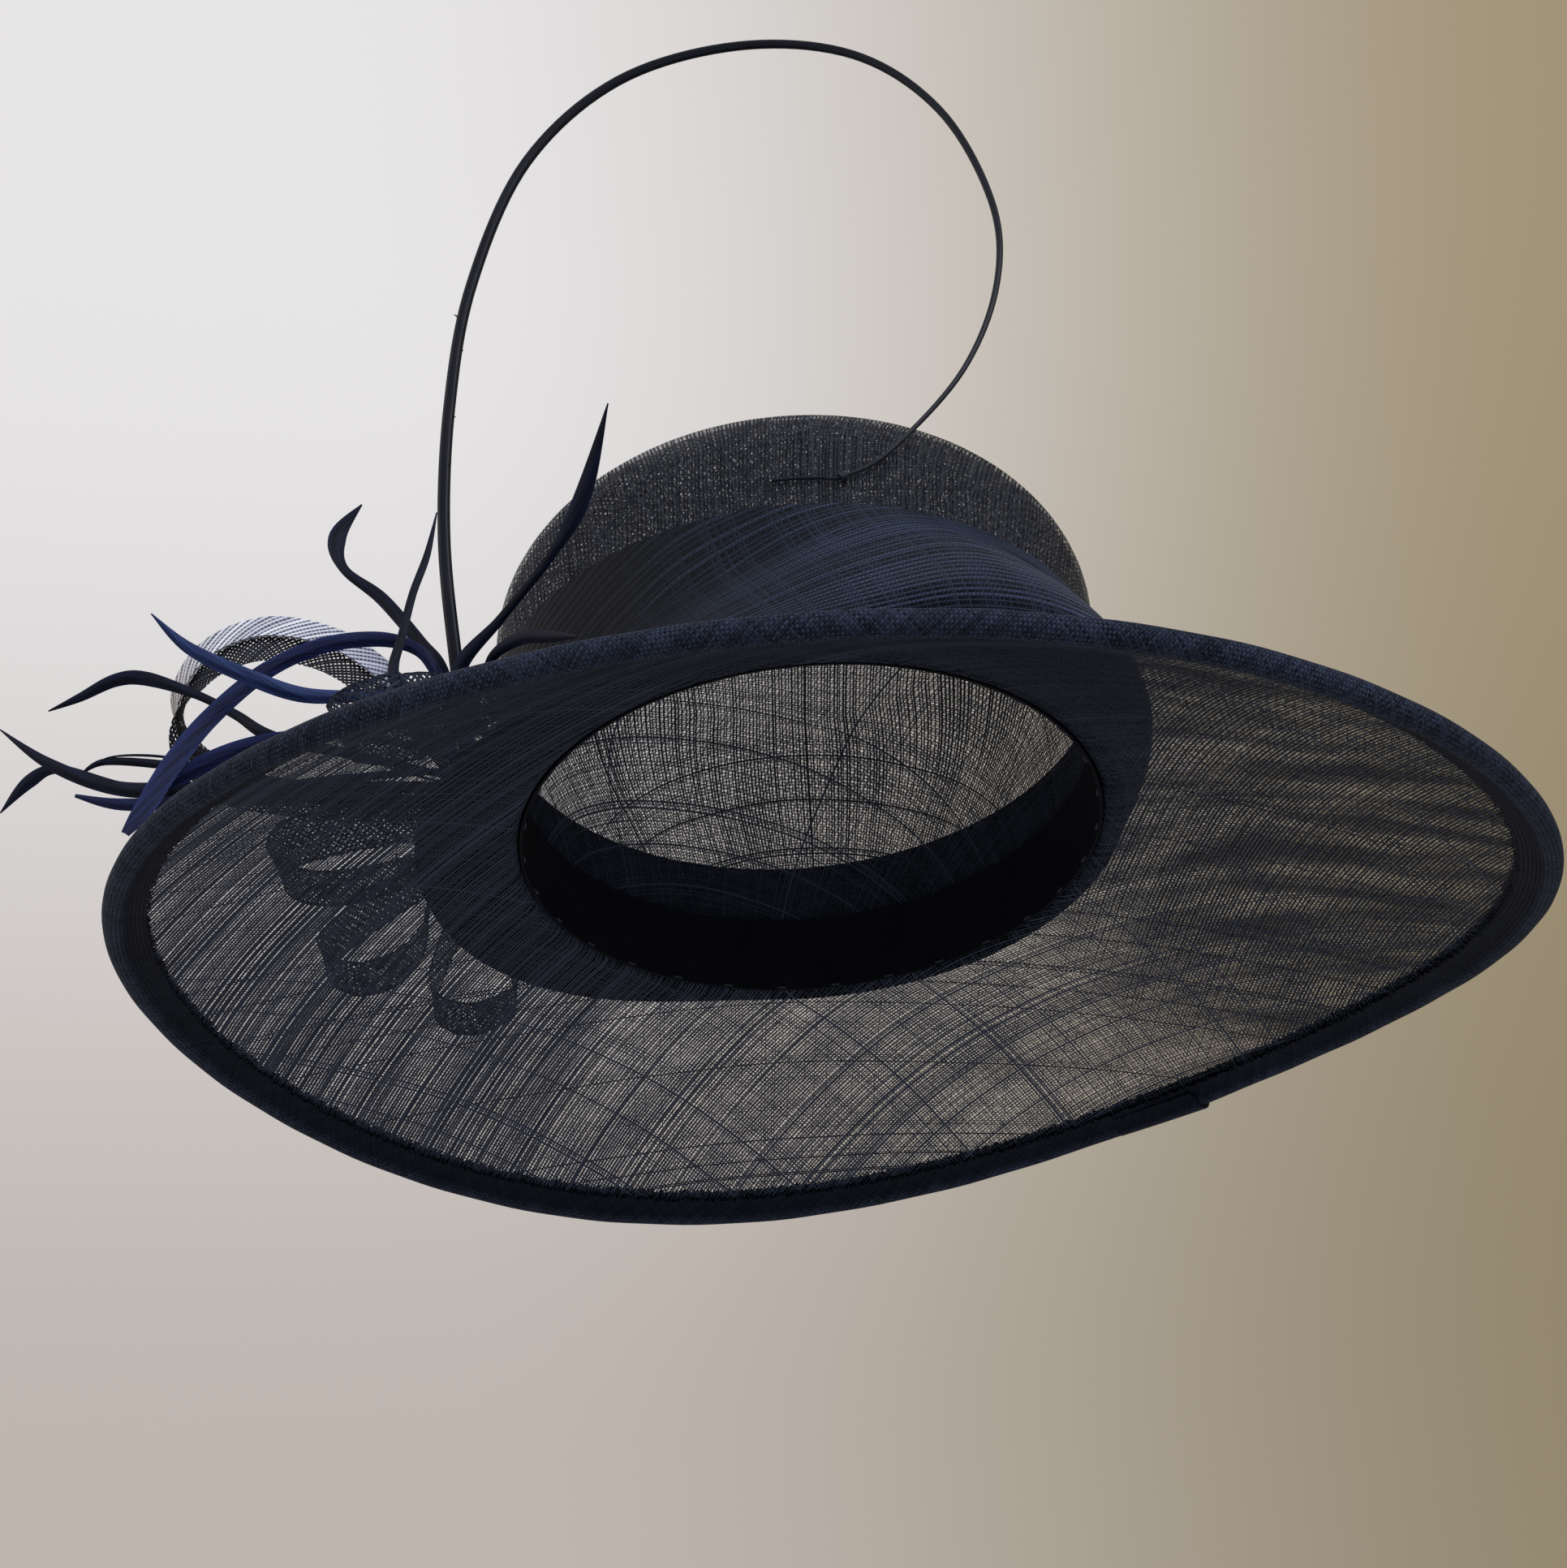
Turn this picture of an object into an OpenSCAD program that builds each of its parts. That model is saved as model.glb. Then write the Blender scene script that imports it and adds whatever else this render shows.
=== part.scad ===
// Wide-brimmed hat of sinamay, a stiffened woven straw cloth, trimmed with loops, feathers and a quill.
// Its front faces -Y, its crown rises along +Z, and the origin is the centre of the head opening.

/* [Head opening] */
// Width of the head opening, side to side
open_w = 168; // [150:1:190]
// Length of the head opening, front to back
open_l = 202; // [180:1:225]

/* [Cloth] */
// Thickness of the blocked cloth of crown and brim
cloth = 1.2; // [0.8:0.1:2]
// Clearance between neighbouring pieces
gap = 0.3; // [0.2:0.05:0.5]

/* [Brim] */
// Width across the edge wire, side to side
edge_w = 396.5; // [340:0.5:440]
// Length across the edge wire, front to back
edge_l = 402; // [340:1:440]
// Shift of the edge to the right of the head opening
edge_right = 2.8; // [-10:0.1:10]
// Shift of the edge to the back of the head opening
edge_back = 5; // [-10:0.5:10]
// Mean drop of the edge below the head opening
edge_drop = 35.2; // [15:0.2:50]
// Lift of the tilted edge at its highest side
edge_tilt = 10.5; // [0:0.5:15]
// Direction of the highest side of the tilted edge, counted from the right
tilt_at = 114; // [0:1:359]
// Lift of the edge at the two crests of its saddle
edge_saddle = 7.5; // [0:0.1:12]
// Direction of the first crest of the saddle
saddle_at = 25; // [0:5:175]
// Lift of the edge at the three crests of its ripple
edge_ripple = 4.2; // [0:0.1:8]
// Direction of the first crest of the ripple
ripple_at = 47; // [0:1:119]
// Power of the brim's curve from flat at the head to steep at the edge
brim_curve = 1.3; // [1:0.05:1.8]
// Height of the collar that stands inside the crown
collar_h = 15; // [8:1:24]
// Outer radius of the bend between collar and brim
collar_bend = 3; // [2.2:0.1:5]

/* [Crown] */
// Height of the crown's shoulder line above the head opening
crown_h = 88; // [75:1:115]
// Radius of the crown's rounded shoulder
crown_shoulder = 25; // [12:1:30]
// Rise of the domed tip above the shoulder line
crown_rise = 6; // [2:0.5:14]
// Widening of the crown wall from its foot to its shoulder line
crown_flare = 2.4; // [0:0.2:5]

/* [Edge binding] */
// Diameter of the wire in the brim's edge
wire_d = 1.6; // [1:0.1:2.2]
// Diameter of the rolled bead of the binding
bead_d = 6.6; // [5.6:0.1:9]
// Length of the binding's flat legs, in from the wire
leg_l = 13.5; // [8:0.5:20]
// Thickness of each leg
leg_cloth = 1; // [0.6:0.1:1.4]
// Direction of the overlap of the binding's ends
lap_at = 57; // [0:1:359]
// Length of the overlap
lap_l = 32; // [20:1:50]
// Thickness of the overlap
lap_cloth = 0.9; // [0.6:0.1:1.4]

/* [Head ribbon] */
// Width of the ribbon sewn inside the head opening
ribbon_w = 25; // [18:1:32]
// Thickness of the ribbon
ribbon_cloth = 0.8; // [0.5:0.1:1.2]
// Height of the ribbon's lower edge above the head opening
ribbon_up = 1; // [0:0.5:4]
// Thickness of the sewing thread
thread_d = 0.7; // [0.4:0.1:1]
// Length of one stitch
stitch_l = 4; // [2:0.5:6]

/* [Sash] */
// Height of the sash's upper edge above the head opening
sash_top = 47; // [36:1:58]
// Reach of the sash's foot on to the brim, under the trim
sash_flare = 26; // [16:1:34]
// Height at which the sash leaves its hollow curve and lies on the crown, under the trim
sash_rise = 22; // [14:1:30]
// Reach of the sash's foot on to the brim, away from the trim
sash_foot = 2; // [1:0.5:6]
// Distance by which the sash stands off the crown where it is fullest
sash_puff = 14; // [4:0.5:18]
// Direction in which the sash is fullest, counted from the right
puff_at = -60; // [-90:5:40]
// Thickness of the draped sash
sash_cloth = 1; // [0.6:0.1:1.6]

/* [Trim] */
// Direction of the feather mount on the sash, counted from the right
trim_at = 200; // [190:1:205]
// Thickness of the patch that the trim is sewn to
patch_cloth = 2; // [1:0.1:3]
// Thickness of the cloth of the loops
loop_cloth = 0.8; // [0.5:0.1:1.2]
// Width of a loop at its middle
loop_w = 15; // [10:0.5:18]
// Width of the two-tone loop at its middle
two_tone_w = 17; // [12:0.5:18]
// Width of a loop where it is gathered at its two ends
loop_end_w = 5; // [3:0.5:6]
// Width of the feather strips where they are broad
biot_w = 5; // [3:0.2:6]
// Thickness of a feather strip along its rib
biot_t = 0.8; // [0.5:0.1:1.2]
// Height of the quill's loop above its foot
quill_h = 222; // [200:1:235]
// Span of the quill's loop, side to side
quill_span = 159; // [145:1:170]
// Diameter of the quill at its foot
quill_d = 4; // [3:0.2:4.8]
// Diameter of the quill at its thin end
quill_tip_d = 0.9; // [0.6:0.1:1.2]
// Height on the crown at which the quill's thin end is sewn down
quill_knot_z = 55; // [52:0.5:60]
// Direction of that knot on the crown
quill_knot_at = -80; // [-95:1:-70]
// Diameter of the knot
knot_d = 3.2; // [2.6:0.1:4]

/* [Hidden] */

// Stations round the hat
stations = 60;
round_angles = [for (i = [0 : stations - 1]) 360*i/stations];
navy = [0.06, 0.07, 0.12];
dark_navy = [0.03, 0.04, 0.07];

// Outline of the head opening, of the wire, and the lines that run out from one to the other
function opening(t) = [open_w/2*cos(t), open_l/2*sin(t)];
function edge(t) = [edge_right + edge_w/2*cos(t), edge_back + edge_l/2*sin(t)];
function reach(t) = norm(edge(t) - opening(t));
function outward(t) = (edge(t) - opening(t))/reach(t);
function plan(t, d) = opening(t) + d*outward(t);
function raised(p, z) = [p.x, p.y, z];

// Height of the brim's under face at a distance out from the head opening
function edge_z(t) = -edge_drop + edge_tilt*cos(t - tilt_at) + edge_saddle*cos(2*(t - saddle_at))
    + edge_ripple*cos(3*(t - ripple_at));
function brim_z(t, d) = edge_z(t)*pow(max(d, 0)/reach(t), brim_curve);
function on_brim(t, d, lift) = raised(plan(t, d), brim_z(t, d) + lift);

// Section axes at the edge: out along the brim's slope, and square to it
function edge_slope(t) = atan(edge_z(t)*brim_curve/reach(t));
function wire_centre(t) = on_brim(t, reach(t), cloth/2);
function section(t, s, n) = let (a = edge_slope(t))
    wire_centre(t) + raised(outward(t)*(s*cos(a) - n*sin(a)), s*sin(a) + n*cos(a));
function section_arc(t, r, from, to, steps) = [for (i = [0 : steps])
    section(t, r*cos(from + (to - from)*i/steps), r*sin(from + (to - from)*i/steps))];

// Solid skin over rings of an even count of points, joined into one loop or closed by two flat ends
module skin(rings, closed = false) {
    count = len(rings[0]);
    last = len(rings) - (closed ? 1 : 2);
    sides = [for (i = [0 : last]) for (j = [0 : count - 1])
        let (a = i*count + j, b = i*count + (j + 1) % count,
             c = ((i + 1) % len(rings))*count + (j + 1) % count, d = ((i + 1) % len(rings))*count + j)
        each [[a, c, b], [a, d, c]]];
    end = (len(rings) - 1)*count;
    ends = closed ? [] : [for (j = [0 : count/2 - 2]) let (k = count - 1 - j)
        each [[j, j + 1, k - 1], [j, k - 1, k],
              [end + j, end + k - 1, end + j + 1], [end + j, end + k, end + k - 1]]];
    polyhedron(points = [for (ring = rings) each ring], faces = concat(sides, ends));
}

// Crown wall, shoulder and tip as one row of rings from the foot up, inset from the outer face
crown_foot = collar_bend + gap;
crown_out = 2*cloth + gap;
wall_steps = 1;
shoulder_steps = 4;
tip_steps = 3;
function crown_wall(t, z, lift) = raised(plan(t, crown_out + crown_flare*z/crown_h + lift), z);
function crown_ring(z, inset, lift) = [for (t = round_angles) crown_wall(t, z, lift - inset)];
function crown_rings(lift) = let (wall_h = crown_h - crown_shoulder, r = crown_shoulder + lift) concat(
    [for (i = [0 : wall_steps]) crown_ring(crown_foot + (wall_h - crown_foot)*i/wall_steps, 0, lift)],
    [for (i = [1 : shoulder_steps]) let (a = 90*i/shoulder_steps)
        crown_ring(wall_h + r*sin(a), r*(1 - cos(a)), lift)],
    [for (i = [1 : tip_steps]) let (s = 1 - i/(tip_steps + 1))
        [for (t = round_angles) raised(s*plan(t, crown_out + crown_flare - crown_shoulder),
            crown_h + lift + crown_rise*(1 - s*s))]]);

module crown() {
    outer = crown_rings(0);
    inner = crown_rings(-cloth);
    rows = len(outer);
    // Index of a point: outer rows first, then inner rows, then the two tips
    function at(row, i) = row*stations + i % stations;
    outer_tip = 2*rows*stations;
    inner_tip = outer_tip + 1;
    faces = concat(
        [for (r = [0 : rows - 2]) for (i = [0 : stations - 1])
            each [[at(r, i), at(r + 1, i + 1), at(r, i + 1)], [at(r, i), at(r + 1, i), at(r + 1, i + 1)]]],
        [for (r = [rows : 2*rows - 2]) for (i = [0 : stations - 1])
            each [[at(r, i), at(r, i + 1), at(r + 1, i + 1)], [at(r, i), at(r + 1, i + 1), at(r + 1, i)]]],
        [for (i = [0 : stations - 1]) [at(rows - 1, i), outer_tip, at(rows - 1, i + 1)]],
        [for (i = [0 : stations - 1]) [at(2*rows - 1, i), at(2*rows - 1, i + 1), inner_tip]],
        [for (i = [0 : stations - 1])
            each [[at(0, i), at(0, i + 1), at(rows, i + 1)], [at(0, i), at(rows, i + 1), at(rows, i)]]]);
    tips = [[0, 0, crown_h + crown_rise], [0, 0, crown_h + crown_rise - cloth]];
    points = concat([for (ring = concat(outer, inner)) each ring], tips);
    color(navy) polyhedron(points = points, faces = faces);
}

// Brim: under face from the wire in to the bend, up the collar, and back out along the top face
brim_shares = [0.2, 0.45, 0.72, 1];
function brim_rows(t) = let (leg = reach(t) - leg_l) concat(
    [collar_bend],
    [for (share = brim_shares) share*leg],
    [reach(t) - leg_l/2, reach(t) - wire_d/2 - gap]);
function bend_point(t, r) = let (in = collar_bend - r*cos(45)) raised(plan(t, in), in);
function brim_loop(t) = let (rows = brim_rows(t), n = len(rows) - 1) concat(
    [for (i = [n : -1 : 0]) on_brim(t, rows[i], 0)],
    [bend_point(t, collar_bend)],
    [for (z = [collar_bend, collar_h]) raised(plan(t, 0), z)],
    [for (z = [collar_h, collar_bend]) raised(plan(t, cloth), z)],
    [bend_point(t, collar_bend - cloth)],
    [for (i = [0 : n]) on_brim(t, rows[i], cloth)]);

module brim() {
    color(navy) skin([for (t = round_angles) brim_loop(t)], closed = true);
}

wire_sides = 6;
module brim_wire() {
    turn = 360 - 360/wire_sides;
    color("dimgray")
        skin([for (t = round_angles) section_arc(t, wire_d/2, 0, -turn, wire_sides - 1)], closed = true);
}

// Folded strip round the edge: a rolled bead with two legs that hold the brim between them
bead_turn = 125;
bead_steps = 6;
groove_turn = 110;
groove_steps = 3;
groove_r = wire_d/2 + 2*gap;
function leg_point(t, in, side, lift) = on_brim(t, reach(t) - in, cloth/2 + side*(cloth/2 + gap + lift));
function leg_in(t, tip, side, lift) = [for (in = [leg_l/2, tip]) leg_point(t, in, side, lift)];
function leg_out(t, tip, side, lift) = [for (in = [tip, leg_l/2]) leg_point(t, in, side, lift)];
function binding_loop(t) = concat(
    leg_out(t, leg_l, 1, leg_cloth),
    section_arc(t, bead_d/2, bead_turn, -bead_turn, bead_steps),
    leg_in(t, leg_l, -1, leg_cloth),
    leg_out(t, leg_l, -1, 0),
    section_arc(t, groove_r, -groove_turn, groove_turn, groove_steps),
    leg_in(t, leg_l, 1, 0));

module edge_binding() {
    color(dark_navy) skin([for (t = round_angles) binding_loop(t)], closed = true);
}

// Sewn-down end of the binding strip, wrapped once more round the bead and its legs
lap_steps = 6;
lap_tip = leg_l - 2;
lap_under = leg_cloth + gap;
lap_over = lap_under + lap_cloth;
lap_r = bead_d/2 + 2*gap;
function lap_loop(t) = concat(
    leg_out(t, lap_tip, 1, lap_over),
    section_arc(t, lap_r + lap_cloth, bead_turn, -bead_turn, bead_steps),
    leg_in(t, lap_tip, -1, lap_over),
    leg_out(t, lap_tip, -1, lap_under),
    section_arc(t, lap_r, -bead_turn, bead_turn, bead_steps),
    leg_in(t, lap_tip, 1, lap_under));

module binding_lap() {
    span = lap_l/(edge_w/2)*180/PI;
    color(dark_navy) skin([for (i = [0 : lap_steps]) lap_loop(lap_at - span/2 + span*i/lap_steps)]);
}

// Ribbon inside the collar, with a row of stitches along its lower edge
ribbon_in = gap + ribbon_cloth;
ribbon_corners = [[-ribbon_in, 0], [-ribbon_in, ribbon_w], [-gap, ribbon_w], [-gap, 0]];
function ribbon_loop(t) = [for (corner = ribbon_corners) raised(plan(t, corner.x), ribbon_up + corner.y)];

module head_ribbon() {
    color("black") skin([for (t = round_angles) ribbon_loop(t)], closed = true);
}

module ribbon_stitches() {
    inset = ribbon_in + thread_d/2 + gap/3;
    color(navy) for (i = [0 : 2 : stations - 1]) {
        a = plan(360*i/stations, -inset);
        b = plan(360*(i + 1)/stations, -inset);
        translate(raised((a + b)/2, ribbon_up + thread_d))
            rotate([0, 90, atan2(b.y - a.y, b.x - a.x)])
                cylinder(h = stitch_l, d = thread_d, center = true, $fn = 16);
    }
}

// Sash: a hollow flare under the trim that turns into a soft puff away from it, sewn to the crown on top
sash_in = crown_out + gap;
sash_lip = 5;
puff_rise = sash_top - sash_lip;
puff_height = 1.2;
flare_whole = 30;
flare_none = 100;
function mix(a, b, share) = a + (b - a)*share;
function eased(x) = let (share = max(0, min(1, x))) share*share*(3 - 2*share);
function flared(t) = eased((cos(t - trim_at) - cos(flare_none))/(cos(flare_whole) - cos(flare_none)));
function puffed(t) = sash_puff*(1 + cos(t - puff_at))/2;
function puff_out(t, a) = sash_foot*(1 - a/90) + puffed(t)*sin(180*pow(max(a, 0)/90, puff_height));
function sash_out(t, a) = mix(puff_out(t, a), sash_flare*(1 - sin(a)), flared(t));
function sash_up(t, a) = mix(puff_rise*a/90, sash_rise*(1 - cos(a)), flared(t));
function sash_line(t, a) = let (d = sash_in + sash_out(t, a), z = sash_up(t, a))
    [d + crown_flare*z/crown_h, brim_z(t, d) + cloth + gap + z];
function sash_normal(t, a) = let (s = sash_line(t, a + 1) - sash_line(t, a - 1))
    raised(outward(t)*s.y, -s.x)/norm(s);
function sash_curve(t, a, lift) = let (p = sash_line(t, a))
    raised(plan(t, p.x), p.y) + lift*sash_normal(t, a);
function sash_wall(t, z, lift) = crown_wall(t, z, gap + lift);
sash_steps = 6;
sash_bend = 78;
sash_angles = [for (i = [0 : sash_steps]) sash_bend*i/sash_steps];
function sash_low(t) = mix(puff_rise, sash_rise, flared(t)) + cloth + gap;
function sash_loop(t) = concat(
    [for (a = sash_angles) sash_curve(t, a, 0)],
    [for (z = [sash_low(t), sash_top]) sash_wall(t, z, 0)],
    [for (z = [sash_top, sash_low(t)]) sash_wall(t, z, sash_cloth)],
    [for (i = [len(sash_angles) - 1 : -1 : 0]) sash_curve(t, sash_angles[i], sash_cloth)]);

module crown_sash() {
    color([0.08, 0.1, 0.17]) skin([for (t = round_angles) sash_loop(t)], closed = true);
}

// Patch on the sash that carries the trim
patch_from = -30;
patch_to = 22;
patch_steps = 12;
patch_rows = 7;
patch_low = 12;
patch_high = 76;
patch_angles = [for (i = [0 : patch_rows]) patch_low + (patch_high - patch_low)*i/patch_rows];
patch_lift = sash_cloth + gap;
function patch_loop(t) = concat(
    [for (a = patch_angles) sash_curve(t, a, patch_lift)],
    [for (i = [len(patch_angles) - 1 : -1 : 0]) sash_curve(t, patch_angles[i], patch_lift + patch_cloth)]);

module trim_patch() {
    span = patch_to - patch_from;
    color(navy) skin([for (i = [0 : patch_steps]) patch_loop(trim_at + patch_from + span*i/patch_steps)]);
}

// Seats on the patch, by direction from the mount and by angle up the sash's curve
seat_gap = 1.5*gap;
seat_lift = patch_lift + patch_cloth + seat_gap;
stem_l = 6;
function seat(at) = sash_curve(trim_at + at[0], at[1], seat_lift);
function stem(at) = [for (s = [0, 0.5, 1]) seat(at) + s*stem_l*sash_normal(trim_at + at[0], at[1])];
function stem_back(at) = let (s = stem(at)) [s[2], s[1], s[0]];
anchor_up = 45;
anchor = sash_curve(trim_at, anchor_up, seat_lift);
// Points of the trim are counted from the anchor with the mount in this direction, and turn with it
mount_at = 200;
function turned(p) = let (a = trim_at - mount_at) [p.x*cos(a) - p.y*sin(a), p.x*sin(a) + p.y*cos(a), p.z];
function placed(points) = [for (p = points) anchor + turned(p)];

// Smooth curve through a list of points, with a number of steps between each pair
function knot(p, i) = p[max(0, min(len(p) - 1, i))];
function between(p, i, u) = let (a = knot(p, i - 1), b = p[i], c = p[i + 1], d = knot(p, i + 2))
    0.5*(2*b + (c - a)*u + (2*a - 5*b + 4*c - d)*u*u + (3*b - a - 3*c + d)*u*u*u);
function smooth(p, steps) = concat(
    [for (i = [0 : len(p) - 2]) for (k = [0 : steps - 1]) between(p, i, k/steps)],
    [p[len(p) - 1]]);
function unit(v) = v/norm(v);
function along(p, i) = unit(knot(p, i + 1) - knot(p, i - 1));

// Strip swept along a curve: offsets across its width and its thickness at each station
function strip_ring(p, i, face, corners) =
    let (w = unit(cross(along(p, i), face)), n = cross(w, along(p, i)))
    [for (c = corners) p[i] + c[0]*w + c[1]*n];

// Feather strip, thin at its root, broad where it turns its flat side out, and drawn out to its tip
sight = [0, 0.88, 0.48];
biot_root = [0.32, 0.34, 0.38];
biot_least = 0.06;
biot_thinning = 0.6;
biot_steps = 2;
function biot_rib(u) = biot_t/2*(1 - biot_thinning*u);
module biot(at, points) {
    path = smooth(concat(stem(at), placed(points)), biot_steps);
    shares = smooth(concat(biot_root, [for (p = points) p[3]]), biot_steps);
    last = len(path) - 1;
    color([0.05, 0.07, 0.18])
        skin([for (i = [0 : last]) let (half = biot_w*max(biot_least, shares[i])/2, rib = biot_rib(i/last))
            strip_ring(path, i, sight, [[-half, 0], [0, rib], [half, 0], [0, -rib]])]);
}

// Loop of cloth, gathered at both ends on the patch, with its width standing up from the brim
up = [0, 0, 1];
loop_fullness = 0.7;
loop_steps = 2;
function loop_path(from, to, points, steps = loop_steps) =
    smooth(concat(stem(from), placed(points), stem_back(to)), steps);
function loop_half(u, width) = (loop_end_w + (width - loop_end_w)*pow(sin(180*u), loop_fullness))/2;
function loop_ring(path, i, width, stand, low, out) =
    let (t = along(path, i), n = unit(cross(t, stand)), w = cross(n, t),
         half = loop_half(i/(len(path) - 1), width))
    [for (c = [[low, out], [low, out + loop_cloth], [1, out + loop_cloth], [1, out]])
        path[i] + c[0]*half*w - c[1]*n];
module cloth_loop(path, width = loop_w, stand = up, low = -1, out = 0, short = 0) {
    skin([for (i = [short : len(path) - 1 - short]) loop_ring(path, i, width, stand, low, out)]);
}

// Two-tone loop: a navy ply inside, and a narrower silver ply along its upper half outside
lean_back = [0, 0.28, 0.96];
two_tone_steps = 3;
silver_low = 0.05;
silver_out = loop_cloth + 2.5*gap;
silver_short = 8;
two_tone_path = loop_path([-7, 60], [-7, 33], [[-12, 2, 15], [-19, -4, 23], [-30, -5, 36], [-42, -5, 45],
    [-58, -4, 50], [-72, -2, 47], [-80, 0, 38], [-82, 2, 28], [-79, 5, 19], [-71, 8, 12], [-53, 10, 7],
    [-30, 12, 3]], two_tone_steps);
module loop_lining() {
    color(navy) cloth_loop(two_tone_path, two_tone_w, lean_back);
}
module loop_silver() {
    color([0.66, 0.67, 0.75])
        cloth_loop(two_tone_path, two_tone_w, lean_back, silver_low, silver_out, silver_short);
}
module loop_front() {
    color(navy) cloth_loop(loop_path([19, 48], [19, 24], [[3, -44, 1], [-4, -53, -4], [-13, -60, -8],
        [-22, -62, -11], [-27, -56, -11], [-22, -49, -10], [-13, -44, -8], [-7, -40, -5]]));
}
module loop_left() {
    color(navy) cloth_loop(loop_path([-13, 60], [-13, 33], [[-21, 24, 4], [-38, 20, 0], [-54, 21, -3],
        [-61, 32, -4], [-56, 42, -4], [-42, 46, -3], [-22, 40, -1]]));
}
module loop_back_left() {
    color(navy) cloth_loop(loop_path([-19, 60], [-19, 33], [[-16, 50, 6], [-30, 65, 2], [-46, 80, -1],
        [-57, 94, -4], [-53, 104, -6], [-41, 98, -6], [-29, 80, -4], [-21, 56, -1]]));
}
module loop_back() {
    color(navy) cloth_loop(loop_path([-26, 60], [-26, 33], [[-7, 67, 8], [-15, 88, 4], [-22, 108, 1],
        [-28, 130, -4], [-22, 142, -6], [-11, 136, -4], [-8, 116, -1], [-8, 94, 2], [-6, 76, 3]]));
}

// Feather strips, each by its seat and the points that it passes, with its share of the broad width there
module biot_upright() {
    biot([10, 58], [[0, -28, 20, 0.85], [13, -36, 31, 0.5], [28, -46, 43, 0.5], [38, -54, 56, 0.95],
        [47, -66, 77, 0.08]]);
}
module biot_crown() {
    biot([13, 66], [[9, -34, 18, 0.5], [18, -45, 18, 0.7], [28, -53, 13, 0.6], [35, -60, 8, 0.1]]);
}
module biot_curled() {
    biot([0, 58], [[-6, -12, 29, 0.6], [-13, -11, 41, 0.75], [-24, -9, 58, 0.75], [-35, -8, 70, 0.55],
        [-37, -7, 82, 1.05], [-30, -6, 93, 0.1]]);
}
module biot_hook() {
    biot([9, 34], [[-3, -27, 4, 0.45], [-10, -34, 8, 0.6], [-16, -35, 14, 0.7], [-17, -33, 21, 0.6],
        [-15, -31, 31, 0.5], [-12, -30, 45, 0.45], [-8, -29, 58, 0.4], [-5, -29, 72, 0.08]]);
}
module biot_arch() {
    biot([3, 36], [[-5, -20, 15, 0.5], [-8, -24, 25, 0.6], [-13, -25, 31, 0.7], [-23, -26, 34, 0.85],
        [-38, -28, 32, 0.9], [-53, -30, 24, 0.95], [-67, -33, 9, 1.05], [-76, -36, -6, 1.15],
        [-82, -39, -20, 1.05], [-86, -41, -28, 0.45]]);
}
module biot_blue() {
    biot([8, 47], [[-8, -21, 13, 0.4], [-16, -23, 17, 0.45], [-28, -28, 15, 0.65], [-42, -35, 13, 0.85],
        [-56, -41, 17, 0.85], [-70, -46, 24, 0.65], [-79, -50, 33, 0.08]]);
}
module biot_side() {
    biot([-1, 40], [[-28, -10, 6, 0.5], [-52, -16, 11, 0.7], [-64, -14, 21, 0.55], [-75, -13, 29, 0.5],
        [-90, -11, 37, 0.8], [-99, -10, 38, 0.75], [-109, -9, 34, 0.5], [-118, -8, 31, 0.08]]);
}
module biot_fork() {
    biot([0, 21], [[-44, -16, -5, 0.7], [-75, -22, -6, 0.9], [-96, -18, -1, 0.8], [-115, -15, 10, 0.65],
        [-130, -12, 24, 0.08]]);
}
module biot_fork_low() {
    biot([-4, 21], [[-44, -6, -3, 0.6], [-77, -14, -4, 0.7], [-96, -11, 3, 0.6], [-114, -8, 12, 0.5],
        [-123, -6, 10, 0.75], [-131, -4, 2, 0.08]]);
}
module biot_thin() {
    biot([-4, 37], [[-38, -2, 2, 0.4], [-74, -8, 7, 0.45], [-87, -6, 12, 0.5], [-103, -3, 16, 0.4],
        [-110, -2, 13, 0.08]]);
}
module biot_low() {
    biot([4, 21], [[-38, -24, -8, 0.5], [-71, -30, -14, 0.65], [-91, -28, -12, 0.65],
        [-104, -26, -7, 0.2]]);
}
module biot_edge() {
    biot([8, 21], [[-28, -28, 3, 0.5], [-52, -29, 3, 0.8], [-70, -29, -3, 1.05],
        [-83, -29, -11, 0.15]]);
}

// Quill: its route bends with both of its seats, the mount and the knot on the crown
quill_at = [5, 50];
quill_sides = 8;
quill_steps = 3;
quill_taper = 1.6;
knot_lift = knot_d/2 + gap/2;
knot_point = crown_wall(quill_knot_at, quill_knot_z, knot_lift);
// Points of the loop as shares of its span and of its height, with their distance to the front
quill_shares = [[-0.013, -18, 0.135], [-0.025, -22, 0.311], [-0.006, -26, 0.5], [0.044, -30, 0.68],
    [0.157, -35, 0.86], [0.34, -39, 0.973], [0.572, -43, 1], [0.786, -47, 0.95], [0.931, -50, 0.829],
    [1, -54, 0.653], [0.987, -57, 0.509], [0.906, -60, 0.369], [0.767, -64, 0.248]];
quill_end = [0.682, -67.3, 0.205];
function looped(p) = [quill_span*p.x, p.y, quill_h*p.z];
quill_route = placed([for (p = quill_shares) looped(p)]);
quill_last = placed([looped(quill_end)])[0];
tail_points = 3;
tail_step = 4;
tail_lift = quill_tip_d/2 + 2*gap;
function led(i) = quill_route[i] + (knot_point - quill_last)*(i + 1)/(len(quill_route) + 1);
quill_path = smooth(concat(
    stem(quill_at),
    [for (i = [0 : len(quill_route) - 1]) led(i)],
    [knot_point],
    [for (i = [1 : tail_points]) crown_wall(quill_knot_at - tail_step*i, quill_knot_z, tail_lift)]),
    quill_steps);
function quill_r(u) = max(quill_tip_d/2, quill_d/2*(1 - pow(u, quill_taper)));
function quill_section(r) = [for (k = [0 : quill_sides - 1])
    let (a = -360*k/quill_sides) r*[cos(a), sin(a)]];

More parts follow.
